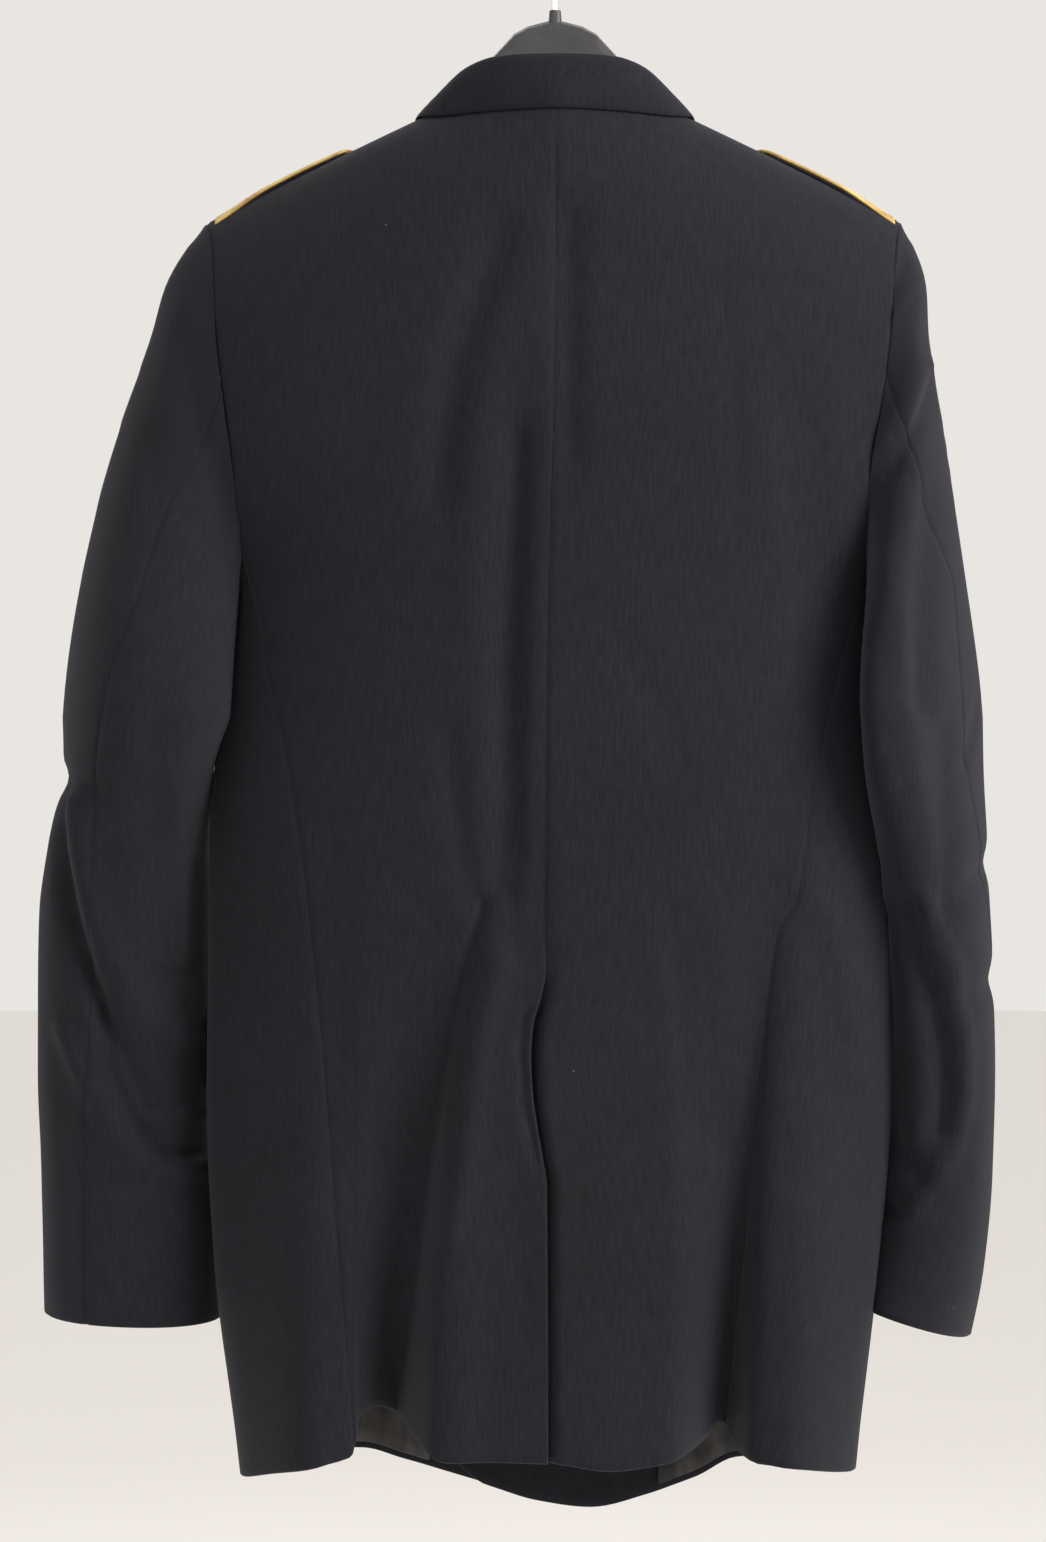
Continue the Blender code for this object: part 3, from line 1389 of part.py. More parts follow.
def build():
    """Make every piece in its own collection."""
    clear_scene()
    collection = bpy.data.collections.new(COLLECTION)
    bpy.context.scene.collection.children.link(collection)
    for side, sign in SIDES.items():
        points, normals, kept = back_panel(side)
        add_wall("back_" + side, points, normals, "cloth", collection, kept=kept)
        points, normals = side_panel(side)
        add_wall("side_" + side, points, normals, "cloth", collection)
        points, normals = front_panel(side)
        add_wall("front_" + side, points, normals, "cloth", collection)
        points, normals = lapel(side)
        add_wall("lapel_" + side, points, normals, "cloth", collection, thick=LAPEL_THICK)
        points, normals = pocket_flap(side)
        add_wall("pocket_flap_" + side, points, normals, "cloth", collection)
        points, normals = lining(side)
        add_wall("lining_" + side, points, normals, "lining", collection, thick=LINING)
        points, normals = sleeve_grid(side)
        split = TOP_COLUMNS[side]
        strip, out = seam_strip(points, normals, 0, split)
        add_wall("top_sleeve_" + side, strip, out, "cloth", collection)
        strip, out = seam_strip(points, normals, split, split + UNDER_COLUMNS[side])
        add_wall("under_sleeve_" + side, strip, out, "cloth", collection)
        points, normals = shoulder_loop(side)
        add_wall("shoulder_loop_" + side, points, normals, "cloth", collection, thick=LOOP_THICK)
        points, normals = shoulder_braid(side)
        add_wall("shoulder_braid_" + side, points, normals, "braid", collection, thick=BRAID_THICK)
    points, normals = collar()
    add_wall("collar", points, normals, "cloth", collection)
    front_buttons(collection)
    loop_buttons(collection)
    add_hanger_body(collection)
    add_hook(collection)


build()
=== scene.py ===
"""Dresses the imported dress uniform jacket: cloth as thin shells on its solids' forms, then camera and light.

Sizes are in millimetres until a mesh is made, which is in metres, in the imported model's own frame.
The origin is the top of the hook's inside, +Z is up, the front faces -Y, and the wearer's left is +X.
"""
import math

import bpy
import bmesh
import numpy as np
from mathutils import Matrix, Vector


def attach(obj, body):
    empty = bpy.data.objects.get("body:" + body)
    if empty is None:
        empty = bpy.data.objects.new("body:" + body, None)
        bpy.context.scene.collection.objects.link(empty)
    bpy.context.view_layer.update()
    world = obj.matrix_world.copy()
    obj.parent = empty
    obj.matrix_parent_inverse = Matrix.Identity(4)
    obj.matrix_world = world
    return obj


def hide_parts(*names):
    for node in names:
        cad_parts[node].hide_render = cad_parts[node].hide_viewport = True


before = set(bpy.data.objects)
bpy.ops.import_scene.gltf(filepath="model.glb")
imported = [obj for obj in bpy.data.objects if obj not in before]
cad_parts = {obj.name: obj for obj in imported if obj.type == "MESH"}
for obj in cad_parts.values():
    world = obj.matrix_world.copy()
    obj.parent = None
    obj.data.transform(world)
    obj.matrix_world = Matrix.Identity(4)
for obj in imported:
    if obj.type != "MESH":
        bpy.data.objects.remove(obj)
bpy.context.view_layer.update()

MM = 0.001
SIDES = {"left": 1.0, "right": -1.0}


# Text tables: a line of column names, then the rows, several to a line where semicolons part them

def cell(word):
    """A word of a table, as a number where it is one."""
    try:
        return float(word)
    except ValueError:
        return word


def table(text):
    """Rows of a text table by column name. The last column takes what is left of a long row."""
    lines = [line for line in text.replace(";", "\n").splitlines() if line.strip() and "#" not in line]
    names = lines[0].split()
    rows = []
    for line in lines[1:]:
        cells = [cell(word) for word in line.replace(",", " ").split()]
        row = dict(zip(names, cells))
        if len(cells) > len(names):
            row[names[-1]] = cells[len(names) - 1:]
        rows.append(row)
    return rows


# Cloth and seams
CLOTH = 2.0
RIM_OUT = 0.4
SEAM_GAP = 0.3
SEAM_DIP = 0.65
SEAM_DIP_WIDTH = 3.0
LINING = 1.2
LINING_GAP = {"left": 2.0, "right": 2.1}
LINING_EDGE = {"left": 76.0, "right": 63.0}
LINING_TOP = 0.06
LINING_FOOT = 0.992
LINING_ROWS = 60
LINING_COLUMNS = 24

# Shoulders: one straight slope each side, rounded over the hanger's arm
SHOULDER_AT = 80.0
SHOULDER_Z = -126.5
SHOULDER_FALL = 0.452
SHOULDER_TIP = 206.0
SHOULDER_ROUND = 90.0
FORWARD_CURVE = 22.0
FORWARD_AT = 200.0
NECK_HALF = 74.0
NECK_BACK_Z = -120.4

# Armhole and the level where the side panels begin
SEAM_TOP_Z = -380.0
UNDERARM_Z = -402.0
UNDERARM_DIP = 22.0
DIP_END = 452.0
DIP_POWER = 1.3
SQUARENESS = 2.6
HEM_LEVEL = -900.0

# Vent at the centre back
VENT_TOP_Z = -626.0
VENT_UNDERLAP = 38.0
VENT_BLEND = 8.0
UNDERLAP_COLUMNS = 10

# Front closing and lapels
NECK_FRONT_X = 72.0
BREAK_Z = -395.0
FRONT_OVERLAP = 20.0
FRONT_HEM_EDGE = {"left": -28.0, "right": 67.0}
CORNER_WIDTH = 26.0
CORNER_RISE = 10.0
CORNER_ROWS = 8
LAYER_STEP = 2.6
LAYER_REACH = 45.0
LAYER_OPEN = 110.0
LAYER_SHUT = 20.0
GORGE_Z = -173.5
GORGE_SLANT = 30.0

# Half widths and depths of the body at each height
BODY = table("""
z left right back front
-85 236 236 48 48
-125 238 238 52 54
-200 240 240 58 62
-300 234 232 61 67
-350 216 212 60 67
-402 186 186 58 66
-463 193 191 56 64
-530 203 200 55 62
-600 204 203 56 61
-700 205 199 60 60
-800 200 190 66 58
-900 187 178 70 56
-960 180 172 71 56
""")

# Where the back panels end: the armhole, then the seam to the side panel
BACK_EDGE = table("""
z left right
-182 206 204; -200 200 199; -260 196 193; -315 189 186; -350 185 182; -380 182 181; -402 177 177
-430 170 168; -512 152 149; -580 142 138; -600 140 127; -666 133 119; -780 124 109; -866 117 101
-960 112 96
""")

# Where the front panels end at the side
FRONT_EDGE = table("""
z left right
-182 206 204; -200 199 198; -240 187 186; -290 177 176; -340 176 175; -380 178 177; -402 178 178
-450 172 172; -520 166 165; -600 161 160; -700 158 156; -800 155 152; -960 148 145
""")

# The centre back seam, and below the vent's top the left panel's free edge
CENTRE_BACK = table("""
z x
-110 0; -200 0.3; -300 1.5; -410 4.5; -560 6; -622 6.5; -638 9.5; -652 13.4; -670 14.8; -690 14
-708 11.6; -727 8.4; -744 6; -900 5.4; -960 5.4
""")

# How far the right panel's underlap lies behind the left panel
VENT_STEP = table("""
z step
-600 0; -618 1.5; -632 4.6; -668 10; -700 9; -740 6.5; -800 5; -960 5
""")

# Heights of the hem, by the place across the back and across the front
HEM_BACK = table("""
x z
-187 -919; -165 -911; -135 -902; -112 -899; -102 -896; -98.5 -884; -94 -882; -85 -890; -65 -896
-30 -900; 0 -896; 40 -895; 62 -895; 78 -888; 92 -877; 104 -872; 112.5 -875; 116 -896; 132 -900
160 -908; 192 -922
""")
HEM_FRONT = table("""
x z
-187 -919; -150 -917; -110 -919; -85 -932; -55 -943; -22 -950; 10 -946; 40 -937; 67 -929; 90 -921
115 -914; 150 -916; 192 -922
""")

# Folds of the body. Each runs from its head by its middle to its foot as seen from the back, and is
# a trough where the depth is above nought and a ridge where it is below. The inner half width is on
# the side of the centre seam.
FOLDS = table("""
face head_x head_z mid_x mid_z foot_x foot_z outer_head outer_foot inner_head inner_foot head_depth foot_depth
# deep trough beside the left side panel, and the rolled fold outside it
1 50 -545 83 -740 101 -960 60 20 20 30 0 50
1 152 -520 142 -700 140 -960 44 40 26 20 0 -14
# the bright ridge inside the trough
1 26 -570 50 -740 64 -960 20 22 20 26 0 -6
# deep trough beside the right side panel, and the rolled fold outside it
1 -126 -550 -106 -740 -95 -960 20 17 44 36 2 48
1 -150 -560 -142 -740 -131 -960 40 40 22 18 0 -13
# long soft troughs of the upper back
1 34 -200 58 -290 64 -350 20 20 20 20 2.5 2
1 20 -290 26 -420 16 -610 22 24 22 24 4 3.5
1 -9 -190 -6 -260 -5 -345 18 18 18 18 2.5 1.5
1 -138 -290 -148 -380 -151 -470 24 24 24 24 3 2
1 -32 -425 -54 -462 -70 -500 16 16 16 16 1.2 0.8
# folds of the skirt
1 -78 -590 -82 -650 -84 -720 18 22 18 22 2 5
1 -148 -575 -166 -620 -178 -700 16 16 16 16 -4 -3
1 93 -830 94 -870 92 -960 10 10 10 10 0 -4
# soft troughs of the hidden front
-1 128 -210 120 -300 122 -380 26 26 26 26 3 2
-1 -124 -215 -118 -310 -124 -400 26 26 26 26 3 2
-1 96 -700 98 -800 100 -960 36 40 36 40 0 6
-1 -108 -700 -106 -800 -108 -960 36 40 36 40 0 6
-1 40 -470 60 -520 96 -560 18 18 18 18 2.5 2
-1 -40 -480 -64 -520 -100 -550 18 18 18 18 2.5 2
""")

# Sleeves as ovals below the armhole: place and half width as seen from behind, front to back place
# and half depth, and how far the back of the oval leans towards the body, in degrees
SLEEVES = {}
SLEEVES["left"] = table("""
z x half y deep lean
-475 240 47 -6 66 16
-505 245.5 43.5 -12 65 6
-550 252.5 44.5 -28 63 -8
-590 255.5 47 -40 62 -16
-640 256.5 47.5 -46 60 -20
-690 257 48 -48 59 -19
-740 255.5 50 -48 57 -9
-775 254 51.5 -48 55 -4
-812 253 52 -47 53 0
-842 252 52.5 -48 51 0
""")
SLEEVES["right"] = table("""
z x half y deep lean
-475 -216 34 -4 66 22
-505 -218 34 -10 65 20
-560 -225 33 -26 63 12
-620 -227 34 -38 61 4
-680 -227 35 -44 59 0
-740 -225 36 -47 57 0
-790 -220 37 -48 55 2
-842 -211 37.5 -48 53 6
""")
# The seam down the back of each sleeve, as seen from behind
HIND_SEAM = {
    "left": table("""
z x
-290 194; -327 207.6; -362 224.7; -418 241.3; -460 255; -506 262; -560 266; -610 270; -670 272
-757 274.5; -842 274.5
"""),
    "right": table("""
z x
-240 -181; -269 -188.3; -316 -203.1; -362 -218; -400 -232.9; -431 -243; -480 -252; -560 -262
-842 -262
"""),
}
HIND_RANGE = (18.0, 150.0)
FORE_SEAM = -112.0
SLEEVE_JOIN_Z = -475.0
SLEEVE_RADIUS = 50.0
RING_STEPS = 361
UPPER_SLEEVE_COLUMNS = 44
UNDER_SLEEVE_COLUMNS = 34
CUFF_Z = {"left": -831.0, "right": -832.0}
CUFF_SLANT = {"left": 2.0, "right": -16.0}
ARM_ROWS = 84
HEAD_ROWS = 45
HEAD_POWER = 1.25
HEAD_RISE = (0.2, -0.6)
HEAD_OUT = (0.46, 0.10)
HEAD_SWELL = 0.10
HEAD_DOWN = 0.86
JOIN_OUT = 0.06
SLEEVE_POWER = 0.92
SLANT_FROM = 0.55
ARMHOLE_TOP_Z = -182.0
CAP_LOW = (300, 395)
CAP_FULLNESS = 6.0
CAP_AT = 0.12
CAP_SPREAD = 0.10
CAP_START = 0.05
LEAST_INSIDE = 0.3
CLEAR_DEEP = 0.4
OUTWARD_SHARE = {"left": 1.0, "right": 0.5}
BODY_CLEAR = 1.0
ARMHOLE_GAP = 0.3

# Finer creases. Each follows a route of places (x, z) as seen from the back, on the body or a sleeve,
# on its back (face 1), its front (-1) or all round (0). Above nought it is a trough, below a ridge.
CREASES = table("""
where face half depth route
# upper back, from the left shoulder blade across the centre seam
body 1 11 2.6 30 -206, 43 -240, 57 -274, 64 -314, 67 -350
body 1 8 -1 49 -308, 51 -365, 50 -421
body 1 9 4 19 -319, 23 -387, 27 -467, 28 -523, 33 -574
body 1 5 -1.8 14 -314, 14 -387, 15 -467, 15 -557, 18 -597
body 1 7 1.6 -6 -192, -7 -257, -8 -325
body 1 8 2.2 62 -484, 56 -540, 47 -580
body 1 6 0.8 -94 -219, -101 -297, -103 -365
body 1 6 0.9 -127 -297, -137 -382, -140 -455
# skirt
body 1 5 5 41 -583, 47 -605, 56 -639, 64 -685, 70 -724, 75 -764, 80 -809, 85 -843, 91 -880
body 1 7 -3.4 32 -614, 41 -648, 47 -687, 51 -727, 59 -772
body 1 3 2.2 18 -643, 20 -665, 18 -696, 11 -727
body 1 5 1 91 -569, 82 -583, 70 -594
body 1 5 1 97 -730, 83 -753
body 1 2.2 1.6 92 -843, 92 -886
body 1 7 1.6 -63 -583, -71 -636, -75 -704, -76 -750
body 1 9 1.4 23 -738, 20 -784, 18 -823
# bag of the left elbow and the swags below it
left 1 5.5 8 288 -509, 287 -553, 281 -588, 275 -611, 267 -634, 258 -658, 246 -682, 238 -701
left 1 8 -4.5 276 -524, 272 -564, 266 -594, 256 -620, 244 -642, 231 -661, 209 -658
left 1 4.5 5.5 265 -647, 259 -676, 248 -705, 236 -725, 227 -731, 208 -732
left 1 4.5 -3.2 259 -658, 248 -687, 235 -709, 209 -711
left 1 6 -3.6 288 -658, 274 -687, 259 -715, 242 -738, 227 -743, 207 -740
left 1 4 1.6 229 -625, 217 -623
left 1 8 2 228 -465, 230 -512, 228 -547
left 1 7 -2.4 203 -442, 219 -512, 224 -570, 226 -611
left 1 6 2.6 211 -559, 213 -611, 209 -663
left 1 8 1.2 294 -652, 287 -693, 285 -751, 285 -809
left 1 8 2.4 217 -254, 207 -306, 190 -352
left 1 9 2 231 -317, 228 -363, 231 -409
left 1 7 -1.8 201 -254, 191 -306, 184 -363
# cap and elbow of the right sleeve, and the deep fold of its forearm
right 1 4 2.4 -187 -244, -194 -232, -204 -213
right 1 4 -1.6 -194 -244, -204 -230, -211 -219
right 1 4 1.8 -200 -245, -208 -233
right 1 8 -4 -176 -340, -188 -316, -200 -299, -214 -270
right 1 5 2.8 -219 -278, -208 -308, -193 -335
right 1 9 4 -216 -352, -210 -407, -208 -465
right 1 8 3 -222 -486, -225 -553, -223 -599
right 1 7 -2 -191 -384, -197 -460, -205 -524
right 1 6 7 -202 -585, -207 -611, -217 -636, -225 -669, -227 -695, -225 -715
right 1 5.5 -3.6 -217 -585, -229 -620, -236 -659, -237 -693, -230 -726, -216 -754, -201 -772
right 1 5 3.2 -197 -716, -204 -733, -216 -747
right 1 6 4.5 -194 -764, -200 -768
right 1 8 -2 -204 -646, -210 -687, -210 -722
right 1 4 2 -250 -468, -239 -503
# steps in the sleeves' outlines, and similar folds on the hidden front
left 0 9 3 304 -508, 290 -512, 262 -520
right 0 8 3 -262 -560, -250 -566, -226 -584
right 0 8 3 -264 -628, -250 -636, -232 -640
left -1 9 4 292 -520, 276 -556, 240 -592
left -1 8 3.4 286 -600, 264 -642, 230 -652
left -1 7 -2.4 284 -560, 262 -598, 236 -620
right -1 9 4 -250 -530, -232 -568, -212 -592
right -1 8 3.4 -252 -620, -234 -652, -214 -666
right -1 7 -2.4 -252 -576, -232 -612, -212 -628
""")
FOLD_DEEPENING = 1.25
FOLD_HEAD_FADE = (-0.16, 0.12)
FOLD_FOOT_FADE = (0.92, 1.15)
FOLD_FULL = 2.2
CREASE_FACING = (-0.1, 0.45)
CREASE_REACH = 2.6

# Collar, from the centre back to the notch: the neck seam and the fold above it in plan and height,
# then the free edge by its place across and its turn over the shoulder in degrees
COLLAR = table("""
step seam_x seam_y seam_z fold_x fold_y fold_z edge_x edge_turn
0 0 40.5 -118.6 0 44 -96.5 0 55
0.8 20 38 -118.8 19 42.5 -96.5 22 47
1.6 40 29.5 -119.2 37 35 -97 43 38.5
2.4 58 16.5 -119.9 54 20 -102 67 26
3.2 67.6 -1 -120.9 63 -2 -109.5 78 11
4 66.8 -22 -127.9 64.5 -24 -119 82 -14
4.8 63.2 -39 -139 61 -43.5 -133 84 -34
5.6 58.4 -52 -153.8 57 -58.5 -150 84 -52
6.4 53.4 -60 -168.6 52.6 -67.5 -167 82 -69
""")
COLLAR_COLUMNS = 30
COLLAR_LIFT = 2.7
COLLAR_FOLD_RADIUS = 3.2
STAND_SHARE = 0.55
STAND_BULGE = 1.2
FOLD_INSIDE = 0.8
FOLD_LOW = 0.9
FOLD_OUTSIDE = 1.2
FALL_BULGE = 2.6

# Lapel's free edge and its height above the front
LAPEL = table("""
z edge_x
-172 104; -205 118; -232 111; -280 88; -330 55; -372 18; -388 0
""")
LAPEL_THICK = 1.8
LAPEL_ROWS = 60
LAPEL_COLUMNS = 22
LAPEL_LIFT = 4.2
LAPEL_ROLL_DIP = 1.4
LAPEL_EDGE_DIP = 0.9
LAPEL_INSET = 1.5
LAPEL_LEAST = 5.0
LAPEL_FOOT = {"left": -384.0, "right": -366.0}

# Pocket flaps by their place around the body, as turns from the centre back to the centre front
FLAP_INNER_TURN = 0.862
FLAP_OUTER_TURN = {"left": 0.535, "right": 0.655}
FLAP_TOP_Z = -632.0
FLAP_HEIGHT = 66.0
FLAP_STAND_OFF = {"left": 3.0, "right": 2.9}
FLAP_SPRING = 3.0
FLAP_CORNER = 4.0
FLAP_ROWS = 21
FLAP_COLUMNS = 49

# Shoulder loops with their braid
LOOP_INNER_X = 116.0
LOOP_OUTER_X = 199.0
LOOP_HALF = 19.0
LOOP_TAPER = 0.3
LOOP_SET = 5.0
LOOP_FORWARD = 9.0
LOOP_END = 16.0
LOOP_ROWS = 40
LOOP_COLUMNS = 30
LOOP_CROWDING = 1.4
LOOP_TIP = 0.06
LOOP_LIFT = 1.95
LOOP_SUNK = 2.6
LOOP_SUNK_REACH = 34.0
LOOP_THICK = 1.5
BRAID_WIDTH = 5.5
BRAID_THICK = 2.0
BRAID_GAP = 0.15
BRAID_INSET = 0.2
BRAID_STEPS = 161
BRAID_ROWS = 13
BRAID_STRAIGHT = 0.82
BRAID_END_REACH = 0.65
ROPE_STEP = 0.7
ROPE_PITCH = 5.4
ROPE_TURN = 0.9
ROPE_RADIUS = 0.95
ROPE_SINK = 0.9
ROPE_FACETS = 8

# Finishes, as linear colours
WOOL = (0.0088, 0.0086, 0.0118)
WOOL_DARK = (0.0078, 0.0076, 0.0100)
WOOL_LIGHT = (0.0100, 0.0098, 0.0134)
WOOL_BLUE = (0.0076, 0.0084, 0.0140)
LINT = (0.22, 0.21, 0.20)
SATIN = (0.018, 0.0165, 0.016)
GOLD = (0.86, 0.65, 0.24)
# The dark gold serves both the braid's uneven tone and the painted shade in the grooves between its ribs
GOLD_DARK = (0.34, 0.19, 0.04)
PLASTIC = (0.030, 0.029, 0.031)
BRASS = (0.76, 0.56, 0.24)
BRASS_DULL = (0.50, 0.34, 0.12)
CHROME = (0.74, 0.74, 0.76)
CHROME_DULL = (0.55, 0.55, 0.57)
TWILL_ANGLE = 27.0
TWILL_SCALE = 500.0
BRAID_RIBS = 260.0

# Camera, light and floor, in metres
CAMERA_AT = (0.0188, 1.75, -0.5068)
CAMERA_LENS = 69.8
CAMERA_SENSOR = 36.0
FLOOR_Z = -1.75
FLOOR_RADIUS = 14.0
FLOOR_COLOUR = (0.90, 0.88, 0.85)
SURROUND = (0.86, 0.83, 0.80)
SURROUND_STRENGTH = 0.95
# Each light: name, place, aim, size, power and colour
LIGHTS = (
    ("window", (-2.0, 1.25, 0.35), (0.0, 0.0, -0.55), 1.3, 85.0, (1.0, 0.98, 0.95)),
    ("room", (1.4, 2.2, 0.9), (0.0, 0.0, -0.5), 1.8, 18.0, (0.95, 0.97, 1.0)),
    ("behind", (0.2, -2.2, 0.8), (0.0, 0.0, -0.5), 1.6, 20.0, (1.0, 1.0, 1.0)),
)

# The cut of each piece: flat width and length in metres and area in square metres
CUTS = table("""
node width length area
back_left 0.236 0.801 0.1313
back_right 0.275 0.806 0.142
side_left 0.184 0.544 0.0809
side_right 0.203 0.545 0.0835
front_left 0.205 0.865 0.1471
front_right 0.231 0.854 0.157
lapel_left 0.074 0.226 0.0124
lapel_right 0.074 0.207 0.0115
pocket_flap_left 0.12 0.067 0.008
pocket_flap_right 0.087 0.067 0.0057
lining_left 0.098 0.492 0.0401
lining_right 0.111 0.507 0.0462
top_sleeve_left 0.29 0.679 0.1174
top_sleeve_right 0.283 0.678 0.0778
under_sleeve_left 0.247 0.58 0.0819
under_sleeve_right 0.25 0.589 0.0967
shoulder_loop_left 0.05 0.104 0.0035
shoulder_loop_right 0.05 0.104 0.0035
shoulder_braid_left 0.213 0.01 0.0019
shoulder_braid_right 0.213 0.01 0.0019
collar 0.387 0.059 0.0162
""")


# Curves and steps

def between(first, last, part):
    """A value part of the way between two others."""
    return first + (last - first) * part


def through(keys, values):
    """Smooth curve through values at keys, with no overshoot between them."""
    order = np.argsort(keys)
    keys, values = keys[order], values[order]
    steps = np.diff(keys)
    slopes = np.diff(values) / steps
    tangents = np.zeros(len(keys))
    tangents[0], tangents[-1] = slopes[0], slopes[-1]
    same_way = slopes[:-1] * slopes[1:] > 0
    mean = 2 * slopes[:-1] * slopes[1:] / np.where(same_way, slopes[:-1] + slopes[1:], 1.0)
    tangents[1:-1] = np.where(same_way, mean, 0.0)

    def value(at):
        at = np.clip(np.asarray(at, float), keys[0], keys[-1])
        left = np.clip(np.searchsorted(keys, at) - 1, 0, len(keys) - 2)
        width = steps[left]
        part = (at - keys[left]) / width
        rest = 1 - part
        return (values[left] * (1 + 2 * part) * rest ** 2
                + values[left + 1] * part ** 2 * (3 - 2 * part)
                + tangents[left] * width * part * rest ** 2
                - tangents[left + 1] * width * part ** 2 * rest)
    return value


def curve(rows, key, name):
    """Smooth curve through one column of a table."""
    return through(*(np.array([row[one] for row in rows]) for one in (key, name)))


def smooth(value, low, high):
    """Soft step from 0 at low to 1 at high."""
    part = np.clip((value - low) / (high - low), 0, 1)
    return part * part * (3 - 2 * part)


def unit(vectors):
    """Vectors with a length of one."""
    lengths = np.linalg.norm(vectors, axis=-1, keepdims=True)
    return vectors / np.maximum(lengths, 1e-9)


def distances(line):
    """Distance along a line at each of its points."""
    steps = np.linalg.norm(np.diff(line, axis=0), axis=1)
    return np.concatenate([[0], np.cumsum(steps)])


def at_places(wanted, places, values):
    """Points or directions at wanted places between known ones."""
    return np.stack([np.interp(wanted, places, values[:, axis]) for axis in range(3)], axis=1)


def grown(full, across, power):
    """A signed share of the full size along an oval's axis, by the axis's sine or cosine."""
    return full * np.sign(across) * np.abs(across) ** power


BACK_DEPTH = curve(BODY, "z", "back")
FRONT_DEPTH = curve(BODY, "z", "front")
HALF_WIDTH = {side: curve(BODY, "z", side) for side in SIDES}
BACK_END = {side: curve(BACK_EDGE, "z", side) for side in SIDES}
FRONT_END = {side: curve(FRONT_EDGE, "z", side) for side in SIDES}
CENTRE_X = curve(CENTRE_BACK, "z", "x")
STEP_IN = curve(VENT_STEP, "z", "step")
HEM_AT = {1: curve(HEM_BACK, "x", "z"), -1: curve(HEM_FRONT, "x", "z")}
LAPEL_EDGE = curve(LAPEL, "z", "edge_x")


# The body's surface

def shoulder_z(x):
    """Height of the shoulder's ridge."""
    return SHOULDER_Z - SHOULDER_FALL * (np.abs(x) - SHOULDER_AT)


def middle_y(x):
    """The ridge and the side seams curve forward with the hanger."""
    return -FORWARD_CURVE * (np.abs(x) / FORWARD_AT) ** 2


def half_width(x, z):
    """Half width of the body on the side that x lies on."""
    return np.where(x >= 0, HALF_WIDTH["left"](z), HALF_WIDTH["right"](z))


def trough(x, z, row):
    """Depth of one fold at a place, from its route and half widths."""
    height = row["head_z"] - row["foot_z"]
    run = (row["head_z"] - z) / height
    bend = (row["head_z"] - row["mid_z"]) / height
    part = np.clip(run, 0, 1)
    route = through(np.array([0, bend, 1]), np.array([row["head_x"], row["mid_x"], row["foot_x"]]))
    off = (x - route(part)) * (1.0 if row["mid_x"] >= 0 else -1.0)
    outer = between(row["outer_head"], row["outer_foot"], part)
    inner = between(row["inner_head"], row["inner_foot"], part)
    across = np.clip(np.abs(off) / np.where(off > 0, outer, inner), 0, 1)
    deep = between(row["head_depth"], row["foot_depth"], part ** FOLD_DEEPENING)
    fade = smooth(run, *FOLD_HEAD_FADE) * (1 - smooth(run, *FOLD_FOOT_FADE))
    return deep * fade * 0.5 * (1 + np.cos(math.pi * across))


def crease_shift(places, row):
    """Depth of one crease at places, from how near its route passes."""
    route = np.reshape(row["route"], (-1, 2))
    reach = row["half"] * CREASE_REACH
    low, high = route.min(axis=0) - reach, route.max(axis=0) + reach
    near = np.all((places > low) & (places < high), axis=-1)
    depth = np.zeros(places.shape[:-1])
    if not near.any():
        return depth
    place = places[near]
    nearest = np.full(len(place), reach)
    for start, end in zip(route[:-1], route[1:]):
        way = end - start
        part = np.clip(((place - start) @ way) / (way @ way), 0, 1)
        nearest = np.minimum(nearest, np.linalg.norm(place - start - part[:, None] * way, axis=-1))
    depth[near] = row["depth"] * np.exp(-(nearest / row["half"]) ** 2)
    return depth


def fold_shift(x, z, face):
    """All folds and creases of one face together, inwards above nought."""
    x, z = np.broadcast_arrays(x, z)
    total = np.zeros(x.shape)
    for row in FOLDS:
        if row["face"] == face:
            total = total + trough(x, z, row)
    places = np.stack([x, z], axis=-1)
    for row in CREASES:
        if row["where"] == "body" and row["face"] == face:
            total = total + crease_shift(places, row)
    return total


def face_point(x, z, face, fullness=None):
    """A point of the body's back (face 1) or front (face -1)."""
    x, z = np.broadcast_arrays(np.asarray(x, float), np.asarray(z, float))
    depth = BACK_DEPTH(z) if face > 0 else FRONT_DEPTH(z)
    if fullness is None:
        across = np.clip(np.abs(x) / half_width(x, z), 0, 1)
        fullness = (1 - across ** SQUARENESS) ** (1 / SQUARENESS)
    drop = np.clip((shoulder_z(x) - z) / SHOULDER_ROUND, 0, 1)
    rounding = np.sqrt(np.maximum(1 - (1 - drop) ** 2, 0))
    y = middle_y(x) + face * depth * fullness * rounding
    y = y - face * fold_shift(x, z, face) * np.minimum(1, FOLD_FULL * fullness)
    return np.stack([x, y, z], axis=-1)


def ring_point(turn, z, side):
    """A point around the body: turn 0 is the centre back, 0.5 the side, 1 the centre front."""
    turn = np.asarray(turn, float)
    sine = np.clip(np.sin(math.pi * turn), 0, 1) ** (2 / SQUARENESS)
    cosine = np.abs(np.cos(math.pi * turn)) ** (2 / SQUARENESS)
    x = SIDES[side] * HALF_WIDTH[side](z) * sine
    back = face_point(x, z, 1, cosine)
    front = face_point(x, z, -1, cosine)
    return np.where((turn <= 0.5)[..., None], back, front)


def turn_of(x, z, side, face):
    """The turn at which the ring passes x on the given face."""
    across = np.clip(np.abs(x) / HALF_WIDTH[side](z), 0, 1)
    turn = math.asin(float(across) ** (SQUARENESS / 2)) / math.pi
    return turn if face > 0 else 1 - turn


# Rows of the panels

